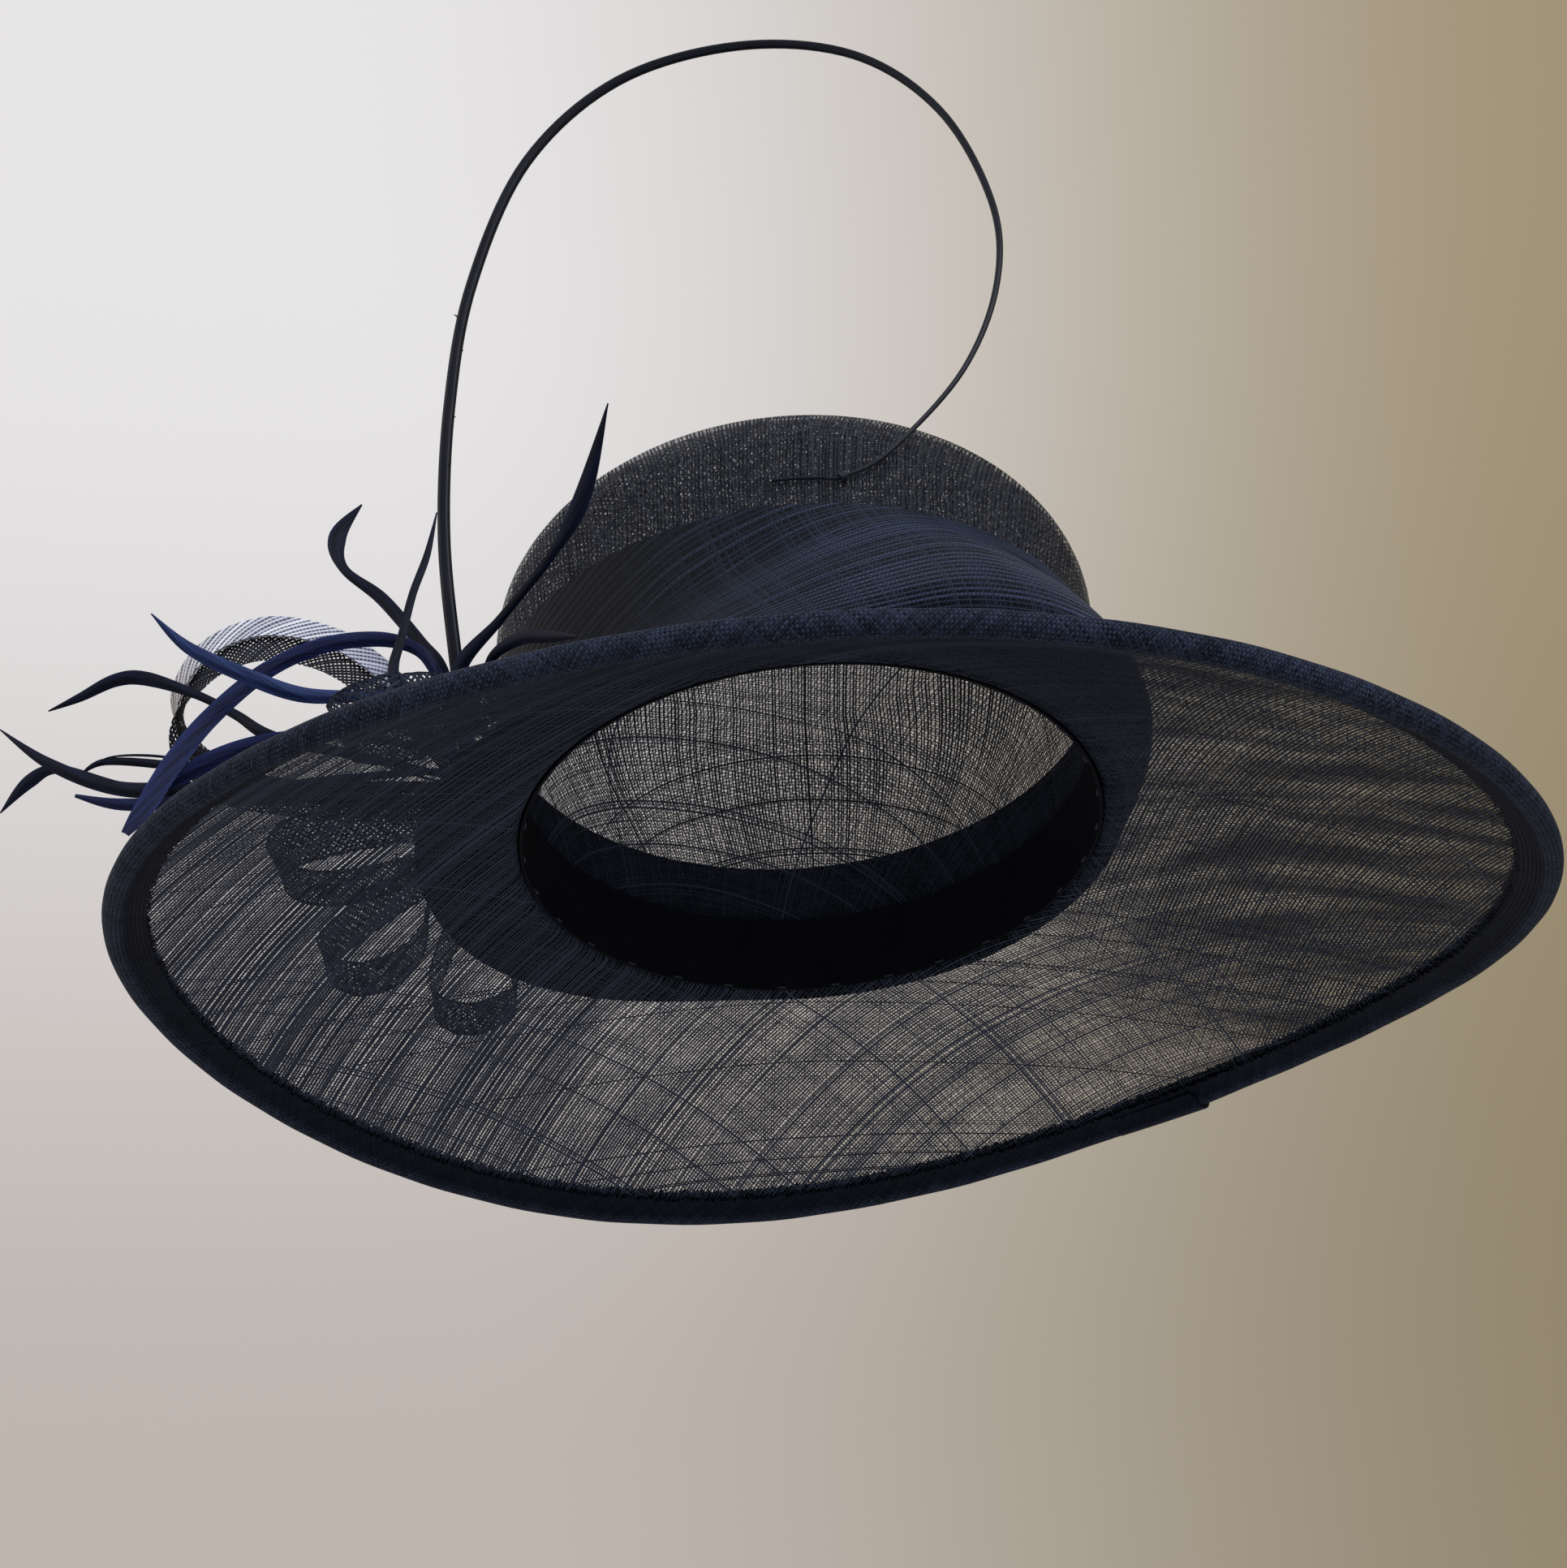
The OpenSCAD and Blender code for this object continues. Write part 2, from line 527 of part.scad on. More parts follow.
module quill() {
    last = len(quill_path) - 1;
    color(dark_navy)
        skin([for (i = [0 : last]) strip_ring(quill_path, i, sight, quill_section(quill_r(i/last)))]);
}

module quill_knot() {
    thick = (knot_d - quill_tip_d)/2 - gap/2;
    at = len(quill_path) - 1 - quill_steps*tail_points;
    axis = along(quill_path, at);
    color("black") translate(knot_point)
        rotate([0, acos(axis.z), atan2(axis.y, axis.x)])
            rotate_extrude($fn = 24)
                translate([knot_d/2 - thick/2, 0])
                    circle(d = thick, $fn = 16);
}

crown();
brim();
brim_wire();
edge_binding();
binding_lap();
head_ribbon();
ribbon_stitches();
crown_sash();
trim_patch();
loop_lining();
loop_silver();
loop_front();
loop_left();
loop_back_left();
loop_back();
biot_upright();
biot_crown();
biot_curled();
biot_hook();
biot_arch();
biot_blue();
biot_side();
biot_fork();
biot_fork_low();
biot_thin();
biot_low();
biot_edge();
quill();
quill_knot();
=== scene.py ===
# %% [markdown]
# # A wide-brimmed sinamay hat
# Sinamay is an open, stiffened straw cloth. A milliner blocks it over wooden forms while it is damp, wires
# and binds the brim's edge, and sews a sash and a feather trim on top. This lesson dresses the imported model
# piece by piece: each blocked shell becomes a see-through weave, and each trim becomes thin strips of
# cloth, feather and quill. Everything is measured in the model's own frame, so a piece goes where the
# solids say, with no fitting by eye.

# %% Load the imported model
import math
from collections import namedtuple

import bmesh
import bpy
import numpy as np
from mathutils import Matrix, Vector


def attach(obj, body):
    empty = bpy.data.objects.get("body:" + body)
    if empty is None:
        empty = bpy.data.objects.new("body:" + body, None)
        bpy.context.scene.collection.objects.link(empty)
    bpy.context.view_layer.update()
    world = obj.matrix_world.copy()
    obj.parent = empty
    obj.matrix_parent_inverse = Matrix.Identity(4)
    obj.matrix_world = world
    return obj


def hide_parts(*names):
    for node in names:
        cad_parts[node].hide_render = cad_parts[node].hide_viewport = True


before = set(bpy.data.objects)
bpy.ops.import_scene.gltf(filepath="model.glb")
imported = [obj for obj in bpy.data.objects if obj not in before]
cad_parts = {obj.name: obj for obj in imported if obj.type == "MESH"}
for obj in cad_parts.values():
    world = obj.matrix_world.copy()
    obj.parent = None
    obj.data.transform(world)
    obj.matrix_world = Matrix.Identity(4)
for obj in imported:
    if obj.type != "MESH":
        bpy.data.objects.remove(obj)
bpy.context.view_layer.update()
MM = 0.001
scene = bpy.context.scene
scene.view_settings.view_transform = "Standard"

# %% [markdown]
# ## Camera
# The hat is seen from in front and a little below, so the under side of the brim fills the picture. The
# camera could be placed by eye with a track-to constraint. Here it is built from two measured angles, a
# distance and a short slide, because a matrix made from its own right, up and ahead directions is exact and
# needs no constraint.

# %% Camera below the brim
LOOK_UP, ROLL = math.radians(28.5), math.radians(-5)
AWAY, SLIDE_RIGHT, SLIDE_UP = 800 * MM, -8.4 * MM, 18.5 * MM
SENSOR, LENS = 36, 63.9
level_right = Vector((1, 0, 0))
level_up = Vector((0, -math.sin(LOOK_UP), math.cos(LOOK_UP)))
ahead = Vector((0, math.cos(LOOK_UP), math.sin(LOOK_UP)))
right = math.cos(ROLL) * level_right + math.sin(ROLL) * level_up
up = -math.sin(ROLL) * level_right + math.cos(ROLL) * level_up
camera = bpy.data.objects.new("camera", bpy.data.cameras.new("camera"))
scene.collection.objects.link(camera)
camera.data.sensor_width, camera.data.lens = SENSOR, LENS
camera.data.clip_start, camera.data.clip_end = 0.05, 60
place = -AWAY * ahead + SLIDE_RIGHT * right + SLIDE_UP * up
camera.matrix_world = Matrix.Translation(place) @ Matrix((right, up, -ahead)).transposed().to_4x4()
scene.camera = camera
print("camera at", [round(x, 3) for x in camera.location])

# %% [markdown]
# ## A small language for finishes
# A finish is a node tree, and trees are slow to read when each node takes three lines. One class wraps an
# output socket, so that ordinary Python arithmetic adds Math nodes. Another holds a tree and makes every
# other kind of node with one method: its type, its settings, then the values or links of its sockets.

# %% Sockets that can be added and multiplied
def math_node(operation, reflected=False):
    """A method that adds one Math node to a wire, which comes last where the operator is reflected."""
    def method(wire, *others):
        values = (*others, wire) if reflected else (wire, *others)
        return wire.nodes.node("ShaderNodeMath", {"operation": operation}, dict(enumerate(values)))
    return method


class Wire:
    """One output of a node, on which + - * / and comparison add Math nodes."""

    def __init__(self, nodes, output):
        self.nodes, self.output = nodes, output

    def other(self, output):
        """Another output of the same node."""
        return Wire(self.nodes, self.output.node.outputs[output])

    __add__, __radd__ = math_node("ADD"), math_node("ADD", True)
    __sub__, __rsub__ = math_node("SUBTRACT"), math_node("SUBTRACT", True)
    __mul__, __rmul__ = math_node("MULTIPLY"), math_node("MULTIPLY", True)
    __truediv__, __rtruediv__ = math_node("DIVIDE"), math_node("DIVIDE", True)
    __gt__, __lt__ = math_node("GREATER_THAN"), math_node("LESS_THAN")
    __abs__, floor = math_node("ABSOLUTE"), math_node("FLOOR")
    sine, most = math_node("SINE"), math_node("MAXIMUM")


print("wires ready")

# %% Trees whose nodes come from one method
class Nodes:
    """A node tree, of the world or of a material."""

    def __init__(self, tree):
        self.tree = tree

    def feed(self, socket, value):
        if isinstance(value, Wire):
            self.tree.links.new(value.output, socket)
        else:
            socket.default_value = value

    def node(self, kind, settings=None, sockets=None, output=0):
        made = self.tree.nodes.new(kind)
        for name, value in (settings or {}).items():
            setattr(made, name, value)
        for name, value in (sockets or {}).items():
            self.feed(made.inputs[name], value)
        return Wire(self, made.outputs[output]) if made.outputs else None

    def vector(self, x, y):
        return self.node("ShaderNodeCombineXYZ", {}, {0: x, 1: y})

    def luck(self, number):
        """One random value from 0 to 1 for each whole number."""
        return self.node("ShaderNodeTexWhiteNoise", {"noise_dimensions": "1D"}, {"W": number})

    def cloud(self, x, y, scale, detail=1.0):
        """Soft noise from 0 to 1 over two coordinates."""
        return self.node("ShaderNodeTexNoise", {"noise_dimensions": "2D"},
                         {"Vector": self.vector(x, y), "Scale": scale, "Detail": detail})

    def ramp(self, value, low, high, start=0.0, end=1.0):
        """Straight change from start to end as value goes from low to high, held beyond them."""
        return self.node("ShaderNodeMapRange", {"clamp": True},
                         {0: value, 1: low, 2: high, 3: start, 4: end})

    def mix(self, share, a, b):
        """Colour a at share 0, colour b at share 1."""
        return self.node("ShaderNodeMix", {"data_type": "RGBA"}, {0: share, 6: a, 7: b}, 2)

    def bump(self, height, distance, strength=1.0):
        return self.node("ShaderNodeBump", {}, {"Height": height, "Distance": distance, "Strength": strength})


class Finish(Nodes):
    """A material with one shader."""

    def __init__(self, name):
        self.material = bpy.data.materials.new(name)
        self.material.use_nodes = True
        super().__init__(self.material.node_tree)
        self.shader = self.tree.nodes["Principled BSDF"]

    def uv(self):
        """The piece's own flat coordinates, in millimetres."""
        spot = self.node("ShaderNodeUVMap", {"uv_map": "cloth"})
        first = self.node("ShaderNodeSeparateXYZ", {}, {0: spot})
        return first, first.other(1)

    def shade(self, **sockets):
        """Sets the shader's own sockets, by name with underscores for spaces."""
        for name, value in sockets.items():
            self.feed(self.shader.inputs[name.replace("_", " ")], value)
        return self.material


def colour(r, g, b):
    return (r, g, b, 1.0)


print("finish helpers ready")

# %% [markdown]
# ## Stage and light
# The background is a plain painted wall, paler to the left and towards the top. A wall standing behind the
# hat would block the view from the back, so the world itself shows the wall's colours to the camera, and
# the floor is a wide disc far below. The light is one large cool window in front and to the right, with a
# weaker one on the left, over an even sky.

# %% World
world = scene.world or bpy.data.worlds.new("wall")
scene.world = world
world.use_nodes = True
world.node_tree.nodes.clear()
room = Nodes(world.node_tree)


def eased(value, low, high):
    """Change from 0 to 1 as value goes from low to high, gentle at both ends."""
    return room.node("ShaderNodeMapRange", {"interpolation_type": "SMOOTHSTEP"}, {0: value, 1: low, 2: high})


facing = room.node("ShaderNodeSeparateXYZ", {}, {0: room.node("ShaderNodeTexCoord", output="Generated")})
to_right, higher = eased(facing, -0.14, 0.3), eased(facing.other(2), 0.26, 0.64)
left_wall = room.mix(higher, colour(0.515, 0.465, 0.43), colour(0.80, 0.785, 0.80))
right_wall = room.mix(higher, colour(0.285, 0.235, 0.15), colour(0.36, 0.295, 0.19))
wall_colour = room.mix(to_right, left_wall, right_wall)
wall = room.node("ShaderNodeBackground", {}, {"Color": wall_colour, "Strength": 1.0})
sky = room.node("ShaderNodeBackground", {}, {"Color": colour(0.92, 0.95, 1.0), "Strength": 0.55})
seen = room.node("ShaderNodeLightPath", output="Is Camera Ray")
seen = seen.most(seen.other("Is Glossy Ray")).most(seen.other("Is Transmission Ray"))
both = room.node("ShaderNodeMixShader", {}, {0: seen, 1: sky, 2: wall})
room.node("ShaderNodeOutputWorld", {}, {"Surface": both})
print("world nodes:", len(world.node_tree.nodes))

# %% Floor
FLOOR_R, FLOOR_Z = 6, -1.1
rim_turns = np.radians(np.arange(0, 360, 5))
rim = [(FLOOR_R * math.cos(a), FLOOR_R * math.sin(a), FLOOR_Z) for a in rim_turns]
floor_mesh = bpy.data.meshes.new("floor")
floor_mesh.from_pydata(rim, [], [list(range(len(rim)))])
floor = bpy.data.objects.new("floor", floor_mesh)
scene.collection.objects.link(floor)
paint = Finish("floor_paint")
spots = paint.node("ShaderNodeTexNoise", {}, {"Scale": 9.0, "Detail": 3.0})
floor_mesh.materials.append(paint.shade(
    Base_Color=paint.mix(spots, colour(0.60, 0.57, 0.54), colour(0.64, 0.61, 0.58)), Roughness=0.7))
print("floor at", FLOOR_Z, "m")

# %% Lamps
HAT_MIDDLE = Vector((0, 0, 0.03))


def lamp(name, place, size, watts, tint):
    """A square soft box that looks at the middle of the hat."""
    data = bpy.data.lights.new(name, "AREA")
    data.size, data.energy, data.color = size, watts, tint
    made = bpy.data.objects.new(name, data)
    made.location = place
    made.rotation_mode = "QUATERNION"
    made.rotation_quaternion = (HAT_MIDDLE - Vector(place)).to_track_quat("-Z", "Y")
    scene.collection.objects.link(made)


lamp("window", (1.1, -1.5, 1.1), 1.2, 34, (0.86, 0.92, 1.0))
lamp("room", (-1.6, -0.9, 0.7), 1.4, 10, (1.0, 0.97, 0.92))

# %% [markdown]
# ## The shape of the hat as functions
# The head opening and the brim's edge are two ovals. A line runs from each point of one to the matching
# point of the other, and every ring of the hat is a set of points at some distance along those lines. The
# edge rises and falls in three waves: a tilt, a saddle and a ripple. Blender's modifiers could bend a disc
# into this shape, but the same few functions that set out the solids put each ring exactly on them.

# %% Ovals, brim height and crown wall, in millimetres and degrees
OPEN_W, OPEN_L = 168, 202
EDGE_W, EDGE_L, EDGE_RIGHT, EDGE_BACK = 396.5, 402, 2.8, 5
EDGE_DROP, EDGE_WAVES, DROOP = -35.2, ((10.5, 114), (7.5, 25), (4.2, 47)), 1.3
CLOTH, GAP = 1.2, 0.3
COLLAR_H, COLLAR_BEND = 15, 3
CROWN_H, SHOULDER, CROWN_RISE, FLARE = 88, 25, 6, 2.4
CROWN_OUT = 2 * CLOTH + GAP
WIRE = 1.6


def cosd(t):
    return np.cos(np.radians(t))


def sind(t):
    return np.sin(np.radians(t))


def opening(t):
    return np.stack([OPEN_W / 2 * cosd(t), OPEN_L / 2 * sind(t)], -1)


def edge(t):
    return np.stack([EDGE_RIGHT + EDGE_W / 2 * cosd(t), EDGE_BACK + EDGE_L / 2 * sind(t)], -1)


def reach(t):
    return np.linalg.norm(edge(t) - opening(t), axis=-1)


def outward(t):
    return (edge(t) - opening(t)) / reach(t)[..., None]


def plan(t, d):
    return opening(t) + (d + 0 * t)[..., None] * outward(t)


def raised(flat, z):
    return np.concatenate([flat, (z + 0 * flat[..., 0])[..., None]], -1)


def edge_z(t):
    waves = [high * cosd(count * (t - at)) for count, (high, at) in enumerate(EDGE_WAVES, 1)]
    return EDGE_DROP + sum(waves)


def brim_z(t, d):
    return edge_z(t) * (np.maximum(d, 0) / reach(t)) ** DROOP


def on_brim(t, d, lift):
    return raised(plan(t, d), brim_z(t, d) + lift)


def crown_wall(t, z, lift):
    return raised(plan(t, CROWN_OUT + FLARE * z / CROWN_H + lift), z)


STATIONS = 240
around = np.arange(STATIONS) * 360.0 / STATIONS
print("brim is", round(float(reach(around).min())), "to", round(float(reach(around).max())), "mm wide")

# %% [markdown]
# ## Rings into meshes
# Nearly every piece is a row of rings: stations round the hat, or along a strip, each with the same count
# of points. A loft or a curve with a bevel would do for some, but one function that joins rings with quads
# serves them all, and lets each piece carry its own flat coordinates, so that a weave lies along the cloth
# as it was cut.

# %% Mesh from rings
SHARP = 50


def settle(made):
    """Welds points that fall together, turns the faces outward and shades them smooth."""
    work = bmesh.new()
    work.from_mesh(made.data)
    bmesh.ops.remove_doubles(work, verts=work.verts, dist=1e-6)
    bmesh.ops.recalc_face_normals(work, faces=work.faces)
    work.to_mesh(made.data)
    work.free()
    made.data.polygons.foreach_set("use_smooth", [True] * len(made.data.polygons))
    made.data.set_sharp_from_angle(angle=math.radians(SHARP))


def piece(name, rings, flat, finishes, replaces=(), wrap=True, second=(), skip=()):
    """Joins closed rings of points, in millimetres, with quads. flat has one more column than rings, and one
    more row where the last ring joins the first. Otherwise both ends are capped. Columns in second take the
    second finish, and columns in skip stay open."""
    count, width = rings.shape[:2]
    columns = [j for j in range(width) if j not in skip]
    faces, corners, slots = [], [], []
    for i in range(count if wrap else count - 1):
        for j in columns:
            i2, j2 = (i + 1) % count, (j + 1) % width
            faces.append((i * width + j, i2 * width + j, i2 * width + j2, i * width + j2))
            corners += [flat[i, j], flat[i + 1, j], flat[i + 1, j + 1], flat[i, j + 1]]
            slots.append(1 if j in second else 0)
    for i, order in () if wrap else ((0, range(width)), (count - 1, range(width)[::-1])):
        faces.append([i * width + j for j in order])
        corners += [flat[i, j] for j in order]
        slots.append(0)
    mesh = bpy.data.meshes.new(name)
    mesh.from_pydata((rings.reshape(-1, 3) * MM).tolist(), [], faces)
    mesh.uv_layers.new(name="cloth").data.foreach_set("uv", np.array(corners, np.float32).ravel())
    mesh.polygons.foreach_set("material_index", slots)
    for finish in finishes:
        mesh.materials.append(finish)
    made = bpy.data.objects.new(name, mesh)
    scene.collection.objects.link(made)
    settle(made)
    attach(made, "root")
    if replaces:
        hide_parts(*replaces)
    return made


print("ring helper ready")

# %% Shells, paths and flat coordinates
def shell(front, back):
    """Rings that run along one face of a cloth and return along the other."""
    return np.concatenate([front, back[:, ::-1]], 1)


def both_faces(flat):
    """Flat coordinates of such rings, alike on both faces, with the first column again at the end."""
    return np.concatenate([flat, flat[:, ::-1], flat[:, :1]], 1)


def closed(values):
    """The same rings with the first one again at the end."""
    return np.concatenate([values, values[:1]], 0)


def grid(along, across):
    return np.stack(np.meshgrid(along, across, indexing="ij"), -1)


def unit(ways):
    return ways / np.linalg.norm(ways, axis=-1, keepdims=True)


def headings(path):
    return unit(np.gradient(path, axis=0))


def distance(path):
    """Distance along a path to each of its points."""
    return np.concatenate([[0], np.cumsum(np.linalg.norm(np.diff(path, axis=0), axis=1))])


def widths(rings):
    """Mean distance across a strip to each column of its rings."""
    return np.concatenate([[0], np.cumsum(np.linalg.norm(np.diff(rings, axis=1), axis=-1).mean(0))])


print("shell helpers ready")

# %% [markdown]
# ## Sinamay
# The cloth is two sets of uneven straw threads with open gaps between them. Modelling each thread would
# take millions of faces. A transparent pattern on a thin shell gives the same view: threads where the
# pattern is solid, and the room behind where it isn't. Each thread gets its own place and thickness from
# its number, with a lump here and there, because straw is never even. Blocking pulls the cloth, so a set of
# threads can run in shallow bows, and where the threads crowd together the cloth is darker in long soft
# bands.

# %% A set of threads
HALF, LUMPY, LUCKY = 0.42, 0.16, 0.13
LUMP_PER_THREAD, LUMP_PER_MM = 0.37, 0.045
BAND_ACROSS, BAND_ALONG, BAND_DETAIL = 0.07, 0.011, 3.0
GANG_PER_THREAD, GANG = 0.31, 0.22
THICK, THICK_OVER = 0.14, 0.95
PLACE_LUCK, ROUNDNESS = 500.5, 3.0


def threads(f, along, across, pitch, width, seed, uneven=0.22, bands=0.0, soft=0.06):
    """Parallel threads of uneven width, which is about the share of the pitch that one covers. Gives how far
    each point is covered, a height that is round across a thread, and each thread's own chance."""
    line = across / pitch
    number = line.floor()
    chance = f.luck(number + seed)
    lumps = f.cloud(number * LUMP_PER_THREAD + seed, along * LUMP_PER_MM, 1.0)
    half = width * (HALF + LUMPY * lumps) + LUCKY * (chance - 0.5)
    if bands:
        crowd = f.cloud(across * BAND_ACROSS + seed, along * BAND_ALONG, 1.0, BAND_DETAIL) - 0.5
        gang = f.cloud(number * GANG_PER_THREAD, seed, 1.0) - 0.5
        half = half * (1.0 + bands * crowd + GANG * gang) + THICK * (chance > THICK_OVER)
    off = abs(line - number - 0.5 + uneven * (f.luck(number + seed + PLACE_LUCK) - 0.5))
    cover = f.ramp(off, half - soft, half + soft, 1.0, 0.0)
    return cover, cover * (1.0 - off * off * ROUNDNESS), chance


def turned(u, v, degrees):
    """The distance along a direction and the distance across it, to its left."""
    c, s = math.cos(math.radians(degrees)), math.sin(math.radians(degrees))
    return u * c + v * s, v * c - u * s


print("threads ready")

# %% Open weave of two sets
# A set's share is what its threads cover, or how that changes over the cloth: a slant, two places and two
# shares. Its bow is across per millimetre along squared, bands is the strength of its dark bands, and soft is
# how soft the edge of a thread is.
Straws = namedtuple("Straws", "runs pitch share bow bands soft", defaults=(0.0, 0.0, 0.06))
SWAY, SWAY_PER_MM = 2.5, 0.011
CROSSING = 17.31, 7.77
# The pale colour of a painted highlight, a glint on a crossing of straw.
PAINTED_GLINT = colour(0.12, 0.125, 0.145)
VEIL_RUNS, VEIL_ACROSS, VEIL_ALONG, VEIL_LEAST = 152, 0.07, 0.016, 0.12


def sinamay(name, warp_set, weft_set, seed, dark, light, glint_share=0.0, veil=0.0, selvedge=None):
    """A finish of two sets of threads with gaps between them. A veil darkens long patches where the ply is
    crowded, and a share of the crossings takes a pale glint colour, a painted highlight. A strip is closed
    beyond its selvedge."""
    f = Finish(name)
    u, v = f.uv()
    sway = f.cloud(u + 37.0 * seed, v, SWAY_PER_MM, 2.0) * SWAY
    sets, crossing = [], 0.0
    for k, straws in enumerate((warp_set, weft_set)):
        along, across = turned(u, v, straws.runs)
        across = across + sway + along * along * straws.bow
        crossing = crossing + (across / straws.pitch).floor() * CROSSING[k]
        share = straws.share
        if not isinstance(share, float):
            slant, *change = share
            share = f.ramp(u - slant * v, *change)
        uneven = 0.4 if straws.bands else 0.25
        sets.append(threads(f, along, across, straws.pitch, share, seed + 41.0 * k, uneven, straws.bands,
                            straws.soft))
    (warp, warp_height, warp_luck), (weft, weft_height, weft_luck) = sets
    base = f.mix((warp_luck * warp).most(weft_luck * weft), dark, light)
    if glint_share:
        # Painted highlight: a few crossings are painted with a pale glint colour.
        base = f.mix((f.luck(crossing) > 1 - glint_share) * warp, base, PAINTED_GLINT)
    gaps = (1.0 - warp) * (1.0 - weft)
    if veil:
        along, across = turned(u, v, VEIL_RUNS)
        crowded = f.ramp(f.cloud(across * VEIL_ACROSS + sway, along * VEIL_ALONG, 1.0, 4.0), 0.36, 0.64)
        gaps = gaps * (1.0 - crowded * f.ramp(u - 0.8 * v, -10.0, 60.0, VEIL_LEAST, veil))
    if selvedge:
        gaps = gaps * f.ramp(abs(u), selvedge - 0.2, selvedge + 0.2, 1.0, 0.1)
    return f.shade(Base_Color=base, Roughness=0.6, Alpha=1.0 - gaps, Specular_IOR_Level=0.06,
                   Normal=f.bump(warp_height.most(weft_height * 0.9), 0.0004, 0.6))


navy_dark, navy_light = colour(0.016, 0.0205, 0.033), colour(0.034, 0.042, 0.067)
straw_dark, straw_light = colour(0.008, 0.009, 0.013), colour(0.028, 0.031, 0.042)
under_ply = sinamay("sinamay_under", Straws(141, 1.15, (0.0, -150, 150, 0.8, 0.18), 0.0009, 0.9, 0.07),
                    Straws(47, 1.15, (-1.0, 70, 220, 0.2, 0.29), -0.0008, 1.5, 0.07), 3.0,
                    navy_dark, navy_light)
top_ply = sinamay("sinamay_top", Straws(98, 1.1, (0.8, 0, 70, 0.04, 0.46), 0.0002),
                  Straws(8, 1.05, (0.8, 0, 70, 0.1, 0.25), 0.0, 0.8, 0.07), 71.0,
                  navy_dark, navy_light, veil=0.58)
crown_ply = sinamay("sinamay_crown", Straws(92, 1.15, 0.46, 0.0, 1.0, 0.08),
                    Straws(3, 1.0, 0.42, 0.0, 0.6, 0.25), 19.0, straw_dark, straw_light, glint_share=0.006)
crown_lining = sinamay("sinamay_crown_inside", Straws(117, 1.3, 0.34, 0.0, 0.6, 0.2),
                       Straws(27, 1.2, 0.32, 0.0, 0.6, 0.2), 57.0, navy_dark, navy_light)
print("weaves:", [m.name for m in bpy.data.materials if m.name.startswith("sinamay")])

# %% [markdown]
# ## Brim
# The brim is blocked from two plies that lie together, with a short collar turned up inside the crown. It
# could be one thick shell, but light has to find its way through both plies, and the bands that this makes
# are the brim's whole character. So each ply is a shell of its own, a thread thick, and the pattern of one
# is turned against the other.

# %% Two plies of brim
PLY, BEND_CLOTH = 0.06, 1.6


def brim_section(t, lift):
    """Points from the collar's top edge, round the bend and out to the wire, and how far along the cloth."""
    bend, radius = COLLAR_BEND, COLLAR_BEND - lift
    points, along = [], []
    for z in np.linspace(COLLAR_H, bend, 4):
        points.append(raised(plan(t, lift), z))
        along.append(bend - BEND_CLOTH * bend - (z - bend) + 0 * t)
    for a in np.linspace(12, 78, 5):
        points.append(raised(plan(t, bend - radius * cosd(a)), bend - radius * sind(a)))
        along.append(bend - BEND_CLOTH * bend * (1 - a / 90) + 0 * t)
    for share in np.linspace(0, 1, 26) ** 0.9:
        d = bend + (reach(t) - WIRE / 2 - GAP - bend) * share
        points.append(on_brim(t, d, lift))
        along.append(d)
    return np.stack(points, 1), np.stack(along, 1)


def brim_ply(name, low, high, finish, replaces=()):
    under, along = brim_section(around, low)
    over, _ = brim_section(around, high)
    flat = np.stack([plan(around, d) for d in along.T], 1)
    piece(name, shell(under, over), closed(both_faces(flat)), [finish], replaces)


brim_ply("brim_under_ply", 0.0, PLY, under_ply, ["brim"])
brim_ply("brim_top_ply", CLOTH - PLY, CLOTH, top_ply)
print("brim plies made, each", PLY, "mm thick")

# %% [markdown]
# ## Crown
# The crown is one piece of the same cloth pulled down over a block, so its threads run straight across the
# tip and turn down the wall. Flat coordinates that grow with the distance from the tip give just that. The
# outer and inner faces of one closed shell stand for the two plies, each with a weave of its own.

# %% Crown shell
def crown_section(t, lift):
    """Points from the foot up the wall, round the shoulder and in to the tip."""
    wall_h, r = CROWN_H - SHOULDER, SHOULDER + lift
    rows = [crown_wall(t, z, lift) for z in np.linspace(COLLAR_BEND + GAP, wall_h, 16)]
    for a in np.linspace(0, 90, 15)[1:]:
        z = wall_h + r * sind(a)
        rows.append(raised(plan(t, CROWN_OUT + FLARE * z / CROWN_H - r * (1 - cosd(a)) + lift), z))
    for s in np.linspace(1, 0, 16)[1:]:
        top = CROWN_H + lift + CROWN_RISE * (1 - s * s)
        rows.append(raised(s * plan(t, CROWN_OUT + FLARE - SHOULDER), top))
    return np.stack(rows, 1)


def from_tip(rows):
    """Flat coordinates of a crown: straight out from the tip by the distance over the cloth."""
    steps = np.linalg.norm(np.diff(rows, axis=1), axis=-1)
    out = np.concatenate([np.cumsum(steps[:, ::-1], 1)[:, ::-1], 0 * steps[:, :1]], 1)
    return out[..., None] * unit(rows[:, :1, :2])


outer, inner = crown_section(around, 0.0), crown_section(around, -CLOTH)
flat = shell(from_tip(outer), from_tip(inner))
flat = closed(np.concatenate([flat, flat[:, :1]], 1))
rows = outer.shape[1]
piece("crown_shell", shell(outer, inner), flat, [crown_ply, crown_lining], ["crown"],
      second=range(rows, 2 * rows - 1), skip=[rows - 1])
print("crown rows:", rows)

# %% [markdown]
# ## Edge binding
# A bias strip is folded over the wire and the raw edge. It rolls into a bead outside and lies flat on each
# face of the brim. A bevelled curve could make the bead, but not the flat legs, so the whole section is
# swept in one go. Its legs are drawn as narrow as they show on the real hat, inside the longer legs of the
# solid. The strip is cut on the bias, so its threads cross at a slant, and its inner edge ends in a short
# fringe of cut straws.

# %% Section of the bound edge
BEAD, LEG, LEG_CLOTH, LEG_FROM, LEG_ROWS = 6.6, 7.4, 1.0, 4.8, 17
BEAD_TURN = 128


